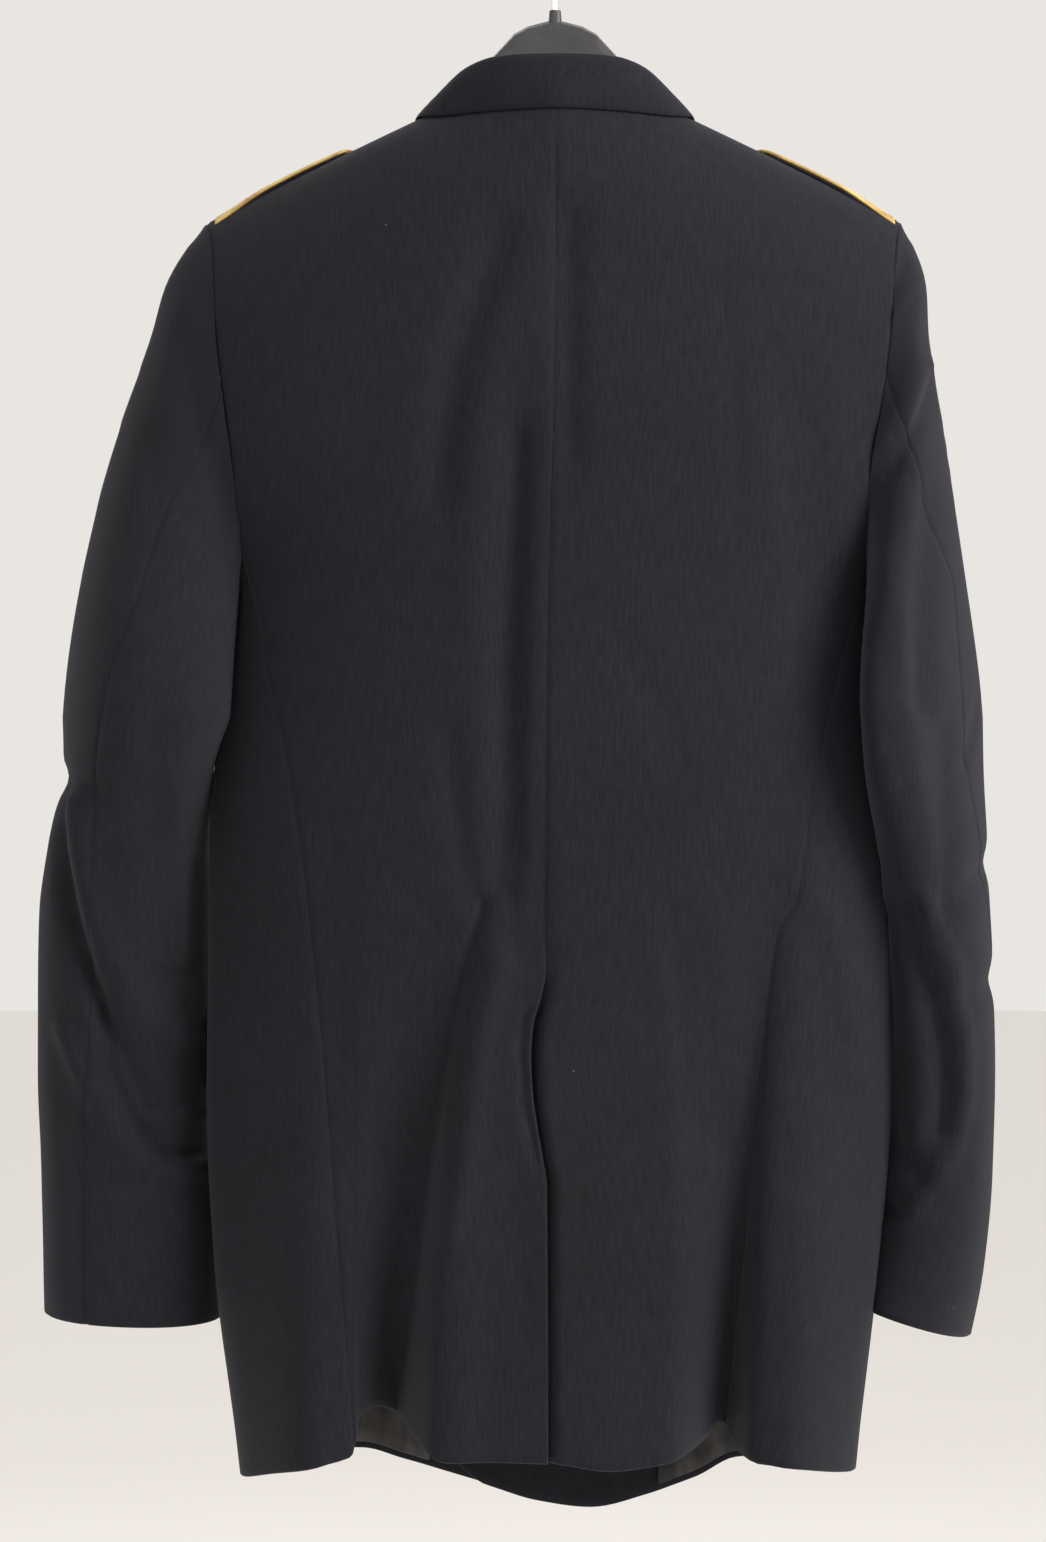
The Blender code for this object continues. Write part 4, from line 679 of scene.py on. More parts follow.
NEAR_EDGE = np.array([0.0, 0.6, 1.4, 2.6, 4.2])
EDGE_ROOM = 6.5
RIDGE_ROWS = 0.12 * np.linspace(0, 1, 14) ** 2
UPPER_ROWS = np.concatenate([RIDGE_ROWS, np.linspace(0.12, 1.0, 46)[1:]])
MIDDLE_ROWS = np.linspace(0, 1, 6)[1:-1]
LOWER_ROWS = np.linspace(0, 1.0, 105)
UPPER_DENSE = 160
LOWER_DENSE = 260
SIDE_DENSE = 120
LOOP_DENSE = 60
BACK_COLUMNS = 56
SIDE_COLUMNS = 26
FRONT_COLUMNS = 48


def lower_z(x, part, face):
    """Height of a row between the underarm and the hem."""
    return between(UNDERARM_Z, HEM_AT[face](x), part)


def crowded(first, last, count, scale=1.0):
    """Places between two ends, crowded at both, in steps divided by a scale."""
    near, room = NEAR_EDGE / scale, EDGE_ROOM / scale
    return np.concatenate([first + near, np.linspace(first + room, last - room, count), last - near[::-1]])


def row_points(line, count, trims):
    """Points along a dense line, crowded at its ends, and its direction there."""
    along = distances(line)
    wanted = crowded(trims[0], along[-1] - trims[1], count)
    return at_places(wanted, along, line), unit(at_places(wanted, along, unit(np.gradient(line, axis=0))))


def make_rows(lines, count, trims=(SEAM_GAP / 2, SEAM_GAP / 2)):
    """A grid of points and directions across, one row for each dense line."""
    return [np.stack(grid) for grid in zip(*(row_points(line, count, trims) for line in lines))]


def normals_of(points, ways, flip, first_down=None):
    """Directions out of a grid, from its rows' own directions and the steps down its columns."""
    down = np.gradient(points, axis=0)
    if first_down is not None:
        down[0] = first_down
    return unit(np.cross(ways, down) * flip)


def press_seams(points, normals, at_start=True, at_end=True, share=None):
    """Sink the columns beside a seam, as pressed cloth does, by a share that may differ from row to row."""
    dip = SEAM_DIP * (1 - smooth(NEAR_EDGE, 0.0, SEAM_DIP_WIDTH))
    depth = np.zeros(points.shape[:2])
    if at_start:
        depth[:, :len(dip)] += dip
    if at_end:
        depth[:, -len(dip):] += dip[::-1]
    if share is not None:
        depth *= share
    return points - normals * depth[..., None]


# Meshes

def grid_lengths(points):
    """Distance across and down the cloth at each point of a grid, in metres, for its weave."""
    across = np.linalg.norm(np.diff(points, axis=1), axis=-1)
    down = np.linalg.norm(np.diff(points, axis=0), axis=-1)
    u = np.concatenate([np.zeros((points.shape[0], 1)), np.cumsum(across, axis=1)], axis=1)
    v = np.concatenate([np.zeros((1, points.shape[1])), np.cumsum(down, axis=0)], axis=0)
    return np.stack([u, v], axis=-1) * MM


def mesh_from(name, points, faces, lengths):
    """A smooth-shaded mesh from points in millimetres, with the weave's place as its UV map."""
    mesh = bpy.data.meshes.new(name)
    mesh.from_pydata([tuple(point * MM) for point in points], [], faces)
    mesh.validate()
    shape = bmesh.new()
    shape.from_mesh(mesh)
    bmesh.ops.recalc_face_normals(shape, faces=shape.faces)
    shape.to_mesh(mesh)
    shape.free()
    layer = mesh.uv_layers.new(name="weave")
    corners = np.empty(len(mesh.loops), int)
    mesh.loops.foreach_get("vertex_index", corners)
    layer.data.foreach_set("uv", np.ascontiguousarray(lengths[corners], dtype=np.float32).ravel())
    mesh.shade_smooth()
    return mesh


def wall_mesh(name, points, normals, thick, kept=None):
    """A closed wall of cloth around a grid of points, with rounded rims where its cells end."""
    rows, columns = points.shape[:2]
    kept = np.ones((rows - 1, columns - 1), bool) if kept is None else kept
    outer = (points + normals * thick / 2).reshape(-1, 3)
    inner = (points - normals * thick / 2).reshape(-1, 3)
    flat = points.reshape(-1, 3)
    shift = rows * columns
    faces = []
    edges = {}
    for row in range(rows - 1):
        for place in range(columns - 1):
            if not kept[row, place]:
                continue
            corner = row * columns + place
            quad = (corner, corner + 1, corner + columns + 1, corner + columns)
            faces.append(quad)
            faces.append(tuple(shift + one for one in reversed(quad)))
            for start, end in zip(quad, quad[1:] + quad[:1]):
                if (end, start) in edges:
                    del edges[(end, start)]
                else:
                    edges[(start, end)] = quad
    out = {}
    for (start, end), quad in edges.items():
        way = (flat[start] + flat[end]) / 2 - flat[list(quad)].mean(axis=0)
        for one in (start, end):
            out[one] = out.get(one, 0.0) + way / np.linalg.norm(way)
    rim = {}
    middle = []
    for one, way in out.items():
        rim[one] = 2 * shift + len(middle)
        middle.append(flat[one] + unit(way) * thick * RIM_OUT)
    for start, end in edges:
        faces.append((end, start, rim[start], rim[end]))
        faces.append((rim[end], rim[start], shift + start, shift + end))
    lengths = grid_lengths(points).reshape(-1, 2)
    lengths = np.concatenate([lengths, lengths, lengths[list(rim)]])
    whole = np.concatenate([outer, inner, np.array(middle)])
    used = np.zeros(len(whole), bool)
    used[[one for face in faces for one in face]] = True
    place_of = np.cumsum(used) - 1
    faces = [tuple(int(place_of[one]) for one in face) for face in faces]
    return mesh_from(name, whole[used], faces, lengths[used])


def add_object(name, data):
    """A new object in the scene."""
    made = bpy.data.objects.new(name, data)
    bpy.context.scene.collection.objects.link(made)
    return made


def add_wall(name, look, thick, points, normals, kept=None):
    """A piece of cloth around its middle surface, with its finish."""
    made = add_object(name + "_cloth", wall_mesh(name, points, normals, thick, kept))
    made.data.materials.append(look)
    return made


# Back panels

def centre_top(x):
    """Height of the back's top edge: the neck seam, then the shoulder seam."""
    neck_end = shoulder_z(NECK_HALF)
    inside = np.clip(np.abs(x) / NECK_HALF, 0, 1)
    neck = NECK_BACK_Z + (neck_end - NECK_BACK_Z) * inside ** 2
    return np.where(np.abs(x) < NECK_HALF, neck, shoulder_z(x))


def upper_line(start_x, end_x, top_z, part, face):
    """A dense row above the underarm between two edges that are functions of the height."""
    share = np.linspace(0, 1, UPPER_DENSE)
    x = share * SHOULDER_TIP
    for _ in range(3):
        z = between(top_z(x), SEAM_TOP_Z, part)
        x = between(start_x(z), end_x(z), share)
    return face_point(x, between(top_z(x), SEAM_TOP_Z, part), face)


def lower_line(start_x, end_x, part, face):
    """A dense row below the underarm, between two edges that are functions of the height."""
    level = between(UNDERARM_Z, HEM_LEVEL, part)
    x = np.linspace(start_x(level), end_x(level), LOWER_DENSE)
    return face_point(x, lower_z(x, part, face), face)


def middle_line(start_x, end_x, part, face):
    """A dense level row between the armhole's foot and the underarm."""
    z = between(SEAM_TOP_Z, UNDERARM_Z, part)
    return face_point(np.linspace(start_x(z), end_x(z), LOWER_DENSE), np.full(LOWER_DENSE, z), face)


def panel_rows(start_x, end_x, top_z, face, *sizes):
    """Points and directions of a back or front panel between its two edges."""
    lines = [upper_line(start_x, end_x, top_z, part, face) for part in UPPER_ROWS]
    lines += [middle_line(start_x, end_x, part, face) for part in MIDDLE_ROWS]
    lines += [lower_line(start_x, end_x, part, face) for part in LOWER_ROWS]
    return make_rows(lines, *sizes)


def back_panel(side):
    """Points, directions out and kept cells of one back panel."""
    sign = SIDES[side]

    def end(z):
        return sign * BACK_END[side](z)

    points, ways = panel_rows(CENTRE_X, end, centre_top, 1, BACK_COLUMNS)
    points[0, :, 1] += SEAM_GAP / 2
    over_ridge = (np.abs(points[0, :, 0]) > NECK_HALF)[:, None]
    first_down = np.where(over_ridge, np.array([0.0, 1.0, 0.0]), unit(points[1] - points[0]))
    normals = normals_of(points, ways, sign, first_down)
    points = press_seams(points, normals, at_start=False)
    sewn = smooth(points[:, :1, 2], VENT_TOP_Z - 4, VENT_TOP_Z + 8)
    points = press_seams(points, normals, at_end=False, share=sewn)
    kept = np.ones((points.shape[0] - 1, points.shape[1] - 1), bool)
    if side == "left":
        return points, normals, kept
    return with_underlap(step_behind(points), normals, kept)


def step_behind(points):
    """The right panel sinks behind the left panel's free edge below the vent's top."""
    x, z = points[..., 0], points[..., 2]
    near = smooth(x, CENTRE_X(z) - VENT_BLEND, CENTRE_X(z) - 1.5)
    sunk = points.copy()
    sunk[..., 1] -= STEP_IN(z) * near
    return sunk


def with_underlap(points, normals, kept):
    """The right panel with the strip that runs on behind the left one below the vent's top."""
    strips = UNDERLAP_COLUMNS
    edge = points[:, :1]
    share = np.linspace(1, 0, strips, endpoint=False)
    x = edge[..., 0] + VENT_UNDERLAP * share
    z = np.repeat(edge[..., 2], strips, axis=1)
    extra = face_point(x, z, 1)
    extra[..., 1] -= STEP_IN(z)
    whole = np.concatenate([extra, points], axis=1)
    fresh = normals_of(whole, unit(np.gradient(whole, axis=1)), -1.0)
    sewn = edge[..., 2:] > VENT_TOP_Z + 30
    fresh[:, strips:] = np.where(sewn, normals, fresh[:, strips:])
    below = np.repeat(edge[:-1, :, 2] < VENT_TOP_Z, strips, axis=1)
    return whole, fresh, np.concatenate([below, kept], axis=1)


# Side panels

def side_line(side, nominal, part=None):
    """A dense row of a side panel, which dips under the arm at the armhole."""
    back_x = SIDES[side] * BACK_END[side](nominal)
    front_x = SIDES[side] * FRONT_END[side](nominal)
    share = np.linspace(0, 1, SIDE_DENSE)
    z_back = z_front = nominal
    if part is not None:
        z_back, z_front = lower_z(back_x, part, 1), lower_z(front_x, part, -1)
    turns = between(turn_of(back_x, z_back, side, 1), turn_of(front_x, z_front, side, -1), share)
    level = np.full(SIDE_DENSE, nominal)
    if part is not None:
        x = ring_point(turns, level, side)[:, 0]
        level = np.where(turns <= 0.5, lower_z(x, part, 1), lower_z(x, part, -1))
        level[0], level[-1] = z_back, z_front
    dip = UNDERARM_DIP * (1 - smooth(-nominal, -SEAM_TOP_Z, DIP_END))
    return ring_point(turns, level - dip * np.sin(math.pi * share) ** DIP_POWER, side)


def side_panel(side):
    """Points and directions out of one side panel, from the back seam round to the front seam."""
    lines = [side_line(side, SEAM_TOP_Z)]
    lines += [side_line(side, between(SEAM_TOP_Z, UNDERARM_Z, part)) for part in MIDDLE_ROWS]
    lines += [side_line(side, between(UNDERARM_Z, HEM_LEVEL, part), part) for part in LOWER_ROWS]
    points, ways = make_rows(lines, SIDE_COLUMNS)
    normals = normals_of(points, ways, SIDES[side])
    return press_seams(points, normals), normals


# Front panels

def roll_x(z, sign):
    """The front's edge above the top button is the line on which the lapel rolls."""
    part = np.clip((shoulder_z(NECK_FRONT_X) - z) / (shoulder_z(NECK_FRONT_X) - BREAK_Z), 0, 1)
    return sign * (NECK_FRONT_X - (NECK_FRONT_X + FRONT_OVERLAP) * part)


def front_edge_x(z, side):
    """The front's free edge from the neck down to the rounded corner at the hem."""
    sign = SIDES[side]
    straight = between(-sign * FRONT_OVERLAP, FRONT_HEM_EDGE[side], smooth(z, BREAK_Z, HEM_LEVEL - 30))
    return np.where(z > BREAK_Z, roll_x(z, sign), straight)


def layer_shift(x, z, side):
    """Where the fronts overlap, the left one lies outside and the right one inside."""
    sign = SIDES[side]
    other = front_edge_x(z, "right" if side == "left" else "left")
    near = 1 - smooth(x * sign, other * sign, other * sign + LAYER_REACH)
    open_above = smooth(z, BREAK_Z + LAYER_OPEN, BREAK_Z + LAYER_SHUT)
    return -sign * LAYER_STEP * near * open_above


def front_panel(side):
    """Points and directions out of one front, from the side to its free edge, with a rounded corner."""
    sign = SIDES[side]

    def start(z):
        return sign * FRONT_END[side](z)

    def end(z):
        return front_edge_x(z, side)

    points, ways = panel_rows(start, end, shoulder_z, -1, FRONT_COLUMNS, (SEAM_GAP / 2, 0.0))
    points[0, :, 1] -= SEAM_GAP / 2
    normals = normals_of(points, ways, sign, np.array([0.0, -1.0, 0.0]))
    points[..., 1] += layer_shift(points[..., 0], points[..., 2], side)
    low = CORNER_RISE * smooth(np.abs(points[..., 0] - points[-1, -1, 0]), CORNER_WIDTH, 0.0)
    foot = np.linspace(0, 1, CORNER_ROWS + 1)[1:, None]
    points[-CORNER_ROWS:, :, 2] += foot ** 1.5 * low[-CORNER_ROWS:]
    return press_seams(points, normals, at_end=False), normals


# Lapels, collar, flaps and lining: all made from the body's own points, moved out or in

def surface_normals(points, flip):
    """Directions out of any grid, from its steps across and down."""
    return normals_of(points, unit(np.gradient(points, axis=1)), flip)


def lapel(side):
    """One lapel, which lies on the front between its roll line and its free edge."""
    sign = SIDES[side]
    across = np.linspace(0, 1, LAPEL_COLUMNS)
    rows = []
    for part in np.linspace(0, 1, LAPEL_ROWS):
        z = between(GORGE_Z, LAPEL_FOOT[side], part) - GORGE_SLANT * (1 - part) ** 3 * across
        inner = roll_x(z, sign) + sign * LAPEL_INSET
        if side == "right":
            inner = np.minimum(inner, roll_x(z, 1.0) - 2 * LAPEL_INSET)
        x = between(inner, sign * np.maximum(LAPEL_EDGE(z), sign * inner + LAPEL_LEAST), across)
        point = face_point(x, z, -1)
        point[:, 1] += layer_shift(x, z, side)
        rows.append(point)
    points = np.stack(rows)
    normals = surface_normals(points, -sign)
    lift = LAPEL_LIFT - LAPEL_ROLL_DIP * (1 - across) ** 2 - LAPEL_EDGE_DIP * across ** 3
    return points + normals * lift[None, :, None], normals


def collar():
    """Points and directions out of the folded collar, from the left notch round to the right one."""
    half = np.linspace(0, COLLAR[-1]["step"], COLLAR_COLUMNS)
    steps = np.concatenate([-half[:0:-1], half])
    size = {name: curve(COLLAR, "step", name)(np.abs(steps)) for name in COLLAR[0]}
    side = np.where(steps < 0, 1.0, -1.0)
    seam = np.stack([side * size["seam_x"], size["seam_y"], size["seam_z"]], axis=1)
    fold = np.stack([side * size["fold_x"], size["fold_y"], size["fold_z"]], axis=1)
    turn = np.radians(size["edge_turn"])
    edge_x = side * size["edge_x"]
    edge_z = shoulder_z(edge_x) - SHOULDER_ROUND * (1 - np.cos(turn))
    edge = np.where((turn > 0)[:, None], face_point(edge_x, edge_z, 1), face_point(edge_x, edge_z, -1))
    out = surface_out(edge_x, turn)
    edge = edge + out * COLLAR_LIFT
    aside = unit((edge - seam) * np.array([1.0, 1.0, 0.0]))
    wide = aside * COLLAR_FOLD_RADIUS
    high = np.array([0.0, 0.0, COLLAR_FOLD_RADIUS])
    points = np.stack([
        seam,
        between(seam, fold, STAND_SHARE) - aside * STAND_BULGE,
        fold - wide * FOLD_INSIDE - high * FOLD_LOW,
        fold,
        fold + wide * FOLD_OUTSIDE - high,
        between(fold + wide - high, edge, 0.5) + out * FALL_BULGE,
        edge,
    ])
    return points, surface_normals(points, -1.0)


def surface_out(x, turn):
    """Direction out of the shoulder at a turn over its ridge, positive towards the back."""
    depth = BACK_DEPTH(shoulder_z(x))
    out = np.stack([np.sign(x) * SHOULDER_FALL * np.cos(turn) * np.minimum(1, np.abs(x) / NECK_HALF),
                    np.sin(turn) * SHOULDER_ROUND / depth,
                    np.cos(turn)], axis=1)
    return unit(out)


def pocket_flap(side):
    """One pocket flap, sewn along its top edge and springing off the cloth towards its foot."""
    turns = np.linspace(FLAP_OUTER_TURN[side], FLAP_INNER_TURN, FLAP_COLUMNS)
    corner = FLAP_CORNER * np.abs(np.linspace(-1, 1, FLAP_COLUMNS)) ** 6
    parts = np.linspace(0, 1, FLAP_ROWS)
    points = np.stack([ring_point(turns, FLAP_TOP_Z - FLAP_HEIGHT * part + corner * part ** 3, side)
                       for part in parts])
    normals = surface_normals(points, SIDES[side])
    lift = FLAP_STAND_OFF[side] + FLAP_SPRING * parts ** 1.5
    return points + normals * lift[:, None, None], normals


def lining(side):
    """The lining inside a front, from its facing to the side, up from the turned hem."""
    sign = SIDES[side]
    rows = []
    for part in np.linspace(LINING_TOP, LINING_FOOT, LINING_ROWS):
        side_x = FRONT_END[side](between(UNDERARM_Z, HEM_LEVEL, part)) - 3
        x = sign * np.linspace(side_x, LINING_EDGE[side], LINING_COLUMNS)
        rows.append(face_point(x, lower_z(x, part, -1), -1))
    points = np.stack(rows)
    normals = surface_normals(points, sign)
    inside = points - normals * (CLOTH / 2 + LINING / 2 + LINING_GAP[side])
    inside[..., 1] += np.maximum(layer_shift(points[..., 0], points[..., 2], side), 0)
    return inside, normals


# Sleeves

def armhole_loop(side):
    """The armhole's edge from the shoulder down its back, under the arm and up its front."""
    sign = SIDES[side]
    back_end, front_end = BACK_END[side], FRONT_END[side]
    down = np.linspace(shoulder_z(back_end(ARMHOLE_TOP_Z)), SEAM_TOP_Z, LOOP_DENSE)
    back = face_point(sign * back_end(down), down, 1)
    start = turn_of(back_end(SEAM_TOP_Z), SEAM_TOP_Z, side, 1)
    end = turn_of(front_end(SEAM_TOP_Z), SEAM_TOP_Z, side, -1)
    share = np.linspace(0, 1, LOOP_DENSE)
    dip = UNDERARM_DIP * np.sin(math.pi * share) ** DIP_POWER
    under = ring_point(between(start, end, share), SEAM_TOP_Z - dip, side)
    front = face_point(sign * front_end(down[::-1]), down[::-1], -1)
    return np.concatenate([back, under[1:], front[1:]])


def oval(side, z, angles):
    """Points of one oval of the sleeve. Angle 0 is the outer side and 90 the back."""
    size = {name: float(curve(SLEEVES[side], "z", name)(z)) for name in SLEEVES[side][0]}
    sign = SIDES[side]
    across = sign * grown(size["half"], np.cos(angles), SLEEVE_POWER)
    along = grown(size["deep"], np.sin(angles), SLEEVE_POWER)
    lean = math.radians(size["lean"])
    x = size["x"] + across * math.cos(lean) - sign * along * math.sin(lean)
    y = size["y"] + along * math.cos(lean) + across * math.sin(lean)
    return np.stack([x, y, np.full(len(angles), z)], axis=-1)


def crease_depth(points, normals, side):
    """Depth of the sleeve's creases at each point, on the side of the sleeve that each one marks."""
    total = np.zeros(points.shape[:-1])
    for row in CREASES:
        if row["where"] == side:
            facing = 1.0 if row["face"] == 0 else smooth(row["face"] * normals[..., 1], *CREASE_FACING)
            total += facing * crease_shift(points[..., [0, 2]], row)
    return total


def keep_clear(points, side):
    """Push sleeve points out of the body's outline and a little beyond it."""
    x, y, z = points[..., 0], points[..., 1], points[..., 2]
    middle = middle_y(x)
    width = HALF_WIDTH[side](z) + BODY_CLEAR
    depth = np.where(y > middle, BACK_DEPTH(z), FRONT_DEPTH(z)) + BODY_CLEAR
    inside = np.abs(x / width) ** SQUARENESS + np.abs((y - middle) / depth) ** SQUARENESS
    grow = np.where(inside < 1, np.maximum(inside, LEAST_INSIDE) ** (-1 / SQUARENESS), 1.0) - 1
    grow = grow * smooth(z, SEAM_TOP_Z + 10, UNDERARM_Z - 30)
    moved = points.copy()
    moved[..., 0] = x * (1 + grow)
    moved[..., 1] = middle + (y - middle) * (1 + grow * CLEAR_DEEP)
    return moved


def sleeve_head(side, angles, end):
    """Rows from the armhole to the sleeve's first oval, full at the cap."""
    sign = SIDES[side]
    loop = armhole_loop(side)
    along = distances(loop)
    start = at_places((angles / (2 * math.pi)) % 1.0, along / along[-1], loop)
    start[:, 0] += sign * ARMHOLE_GAP
    low = smooth(-start[:, 2], *CAP_LOW)
    start[:, 2] += between(*HEAD_RISE, low)
    reach = np.linalg.norm(end - start, axis=1, keepdims=True)
    outward = between(*HEAD_OUT, low) * OUTWARD_SHARE[side]
    flat = np.ones(len(angles))
    leave = np.stack([sign * outward, HEAD_SWELL * np.sin(angles), -HEAD_DOWN * flat], axis=1) * reach
    arrive = np.stack([sign * JOIN_OUT * flat, 0 * flat, -flat], axis=1) * reach
    rows = []
    for part in np.linspace(0, 1, HEAD_ROWS) ** HEAD_POWER:
        rest = 1 - part
        row = (start * (1 + 2 * part) * rest ** 2 + end * part ** 2 * (3 - 2 * part)
               + leave * part * rest ** 2 - arrive * part ** 2 * rest)
        full = CAP_FULLNESS * math.exp(-((part - CAP_AT) / CAP_SPREAD) ** 2) * min(1, part / CAP_START)
        row[:, 0] += sign * full * np.maximum(np.cos(angles), 0)
        rows.append(row)
    return rows


def sleeve_rings(side, angles):
    """Dense rings of one sleeve from the armhole to the cuff, one column for each angle."""
    rows = sleeve_head(side, angles, oval(side, SLEEVE_JOIN_Z, angles))
    centre = float(curve(SLEEVES[side], "z", "x")(CUFF_Z[side]))
    for part in np.linspace(0, 1, ARM_ROWS)[1:]:
        ring = oval(side, between(SLEEVE_JOIN_Z, CUFF_Z[side], part), angles)
        slant = CUFF_SLANT[side] * smooth(part, SLANT_FROM, 1.0)
        ring[:, 2] += SIDES[side] * slant * (ring[:, 0] - centre) / SLEEVE_RADIUS
        rows.append(ring)
    return keep_clear(np.stack(rows), side)


def hind_angle(side, angles, ring):
    """Angle at which a ring of the sleeve passes the seam down its back."""
    lowest, highest = np.radians(HIND_RANGE)
    behind = (angles > lowest) & (angles < highest)
    gap = ring[:, 0] - curve(HIND_SEAM[side], "z", "x")(ring[:, 2])
    return float(np.interp(0.0, -SIDES[side] * gap[behind], angles[behind]))


def sleeve_columns(side):
    """Grid of one sleeve, its columns shared out between the two seams."""
    first = math.radians(FORE_SEAM)
    last = first + 2 * math.pi
    angles = np.linspace(first, last, RING_STEPS)
    rows = []
    for ring in sleeve_rings(side, angles):
        seam = hind_angle(side, angles, ring)
        wanted = np.concatenate([crowded(first, seam, UPPER_SLEEVE_COLUMNS, SLEEVE_RADIUS)[:-1],
                                 crowded(seam, last, UNDER_SLEEVE_COLUMNS, SLEEVE_RADIUS)[:-1]])
        rows.append(at_places(wanted, angles, ring))
    return np.stack(rows)


def sleeve_grid(side):
    """The whole sleeve as one ring of columns, with its creases pressed in."""
    points = sleeve_columns(side)
    wrapped = np.concatenate([points[:, -1:], points, points[:, :1]], axis=1)
    normals = unit(np.cross(unit(wrapped[:, 2:] - wrapped[:, :-2]), np.gradient(points, axis=0)))
    outward = np.sum(normals * (points - points.mean(axis=1, keepdims=True)), axis=-1)
    normals = normals * np.sign(np.median(outward))
    return points - normals * crease_depth(points, normals, side)[..., None], normals


def sleeve_panel(side, first, last):
    """The columns of one sleeve panel, drawn in a hair at both seams."""
    points, normals = sleeve_grid(side)
    places = [place % points.shape[1] for place in range(first, last + 1)]
    strip = points[:, places]
    strip[:, 0] += unit(strip[:, 1] - strip[:, 0]) * SEAM_GAP / 2
    strip[:, -1] += unit(strip[:, -2] - strip[:, -1]) * SEAM_GAP / 2
    return press_seams(strip, normals[:, places]), normals[:, places]


def top_sleeve(side):
    """The sleeve's outer panel, from the seam before it to the seam down its back."""
    return sleeve_panel(side, 0, UPPER_SLEEVE_COLUMNS + 2 * len(NEAR_EDGE) - 1)


def under_sleeve(side):
    """The sleeve's inner panel."""
    top = UPPER_SLEEVE_COLUMNS + 2 * len(NEAR_EDGE) - 1
    return sleeve_panel(side, top, top + UNDER_SLEEVE_COLUMNS + 2 * len(NEAR_EDGE) - 1)


# Shoulder loops

def ridge_point(x, across, sign, lift):
    """A point over the shoulder at a distance across its ridge, moved out by the lift."""
    level = shoulder_z(x)
    depth = np.where(across > 0, BACK_DEPTH(level), FRONT_DEPTH(level))
    depth = depth * (1 - (x / HALF_WIDTH["left"](level)) ** SQUARENESS) ** (1 / SQUARENESS)
    turn = np.arcsin(np.clip(across / depth, -0.95, 0.95))
    point = np.stack([sign * x, middle_y(x) + depth * np.sin(turn),
                      level - SHOULDER_ROUND * (1 - np.cos(turn))], axis=-1)
    out = unit(np.stack([sign * SHOULDER_FALL * np.ones(x.shape), np.sin(turn) * SHOULDER_ROUND / depth,
                         np.cos(turn)], axis=-1))
    return point + out * lift[..., None], out


def loop_share(x):
    """How far along the shoulder loop a place is, from 0 at the armhole to 1 at its neck end."""
    return np.clip((LOOP_OUTER_X - x) / (LOOP_OUTER_X - LOOP_INNER_X), 0, 1)


def loop_centre(x):
    """The loop's middle line lies before the ridge and bears forward towards the neck."""
    return -LOOP_SET - LOOP_FORWARD * loop_share(x) ** 1.5


def loop_half(x):
    """Half width of the shoulder loop, which narrows towards the neck and ends round."""
    end = np.clip((x - LOOP_INNER_X) / LOOP_END, 0, 1)
    return LOOP_HALF * (1 - LOOP_TAPER * loop_share(x)) * np.sqrt(np.maximum(1 - (1 - end) ** 2, LOOP_TIP))


def loop_lift(x):
    """Height of the loop over the shoulder, which sinks into the armhole seam at its end."""
    return LOOP_LIFT - LOOP_SUNK * smooth(x, LOOP_OUTER_X - LOOP_SUNK_REACH, LOOP_OUTER_X)


def shoulder_loop(side):
    """The strap over the shoulder, with a round end near the neck."""
    x = between(LOOP_INNER_X, LOOP_OUTER_X, np.linspace(0, 1, LOOP_ROWS) ** LOOP_CROWDING)
    x = np.repeat(x[:, None], LOOP_COLUMNS, axis=1)
    across = np.linspace(-1, 1, LOOP_COLUMNS) * loop_half(x) + loop_centre(x)
    return ridge_point(x, across, SIDES[side], loop_lift(x))


def shoulder_braid(side):
    """The braid round the strap's edge, open at the armhole."""
    steps = np.linspace(-1, 1, BRAID_STEPS)
    hand = np.sign(steps)
    turn = np.abs(steps)
    bend = 1 - BRAID_STRAIGHT
    quarter = np.clip(turn / bend, 0, 1) * math.pi / 2
    rounding = LOOP_HALF * BRAID_END_REACH
    x = LOOP_INNER_X + rounding * (1 - np.cos(quarter))
    straight = between(LOOP_INNER_X + rounding, LOOP_OUTER_X, (turn - bend) / BRAID_STRAIGHT)
    x = np.where(turn < bend, x, straight)
    edge = LOOP_HALF * (1 - LOOP_TAPER * loop_share(x)) - BRAID_INSET
    across = hand * edge * np.sin(quarter) + loop_centre(x)
    lift = loop_lift(x) + LOOP_THICK / 2 + BRAID_GAP + BRAID_THICK / 2
    in_x, in_across = np.cos(quarter), -hand * np.sin(quarter)
    rows = [ridge_point(x + in_x * shift, across + in_across * shift, SIDES[side], lift)
            for shift in np.linspace(0, BRAID_WIDTH, BRAID_ROWS)]
    return [np.stack(grid) for grid in zip(*rows)]


def braid_rope(side, strand):
    """One of the two strands that twist round each other along the braid's edge."""
    points, normals = shoulder_braid(side)
    line = points[-1] - normals[-1] * ROPE_SINK
    along = distances(line)
    wanted = np.arange(0, along[-1], ROPE_STEP)
    line = at_places(wanted, along, line)
    out = unit(at_places(wanted, along, normals[-1]))
    aside = unit(np.cross(unit(np.gradient(line, axis=0)), out))
    twist = (wanted / ROPE_PITCH + strand / 2)[:, None] * 2 * math.pi
    centre = line + ROPE_TURN * (np.cos(twist) * aside + np.sin(twist) * out)
    way = unit(np.gradient(centre, axis=0))
    first = unit(np.cross(way, out))
    second = np.cross(first, way)
    around = np.linspace(0, 2 * math.pi, ROPE_FACETS, endpoint=False)[None, :, None]
    ring = np.cos(around) * first[:, None] + np.sin(around) * second[:, None]
    return centre[:, None] + ROPE_RADIUS * ring


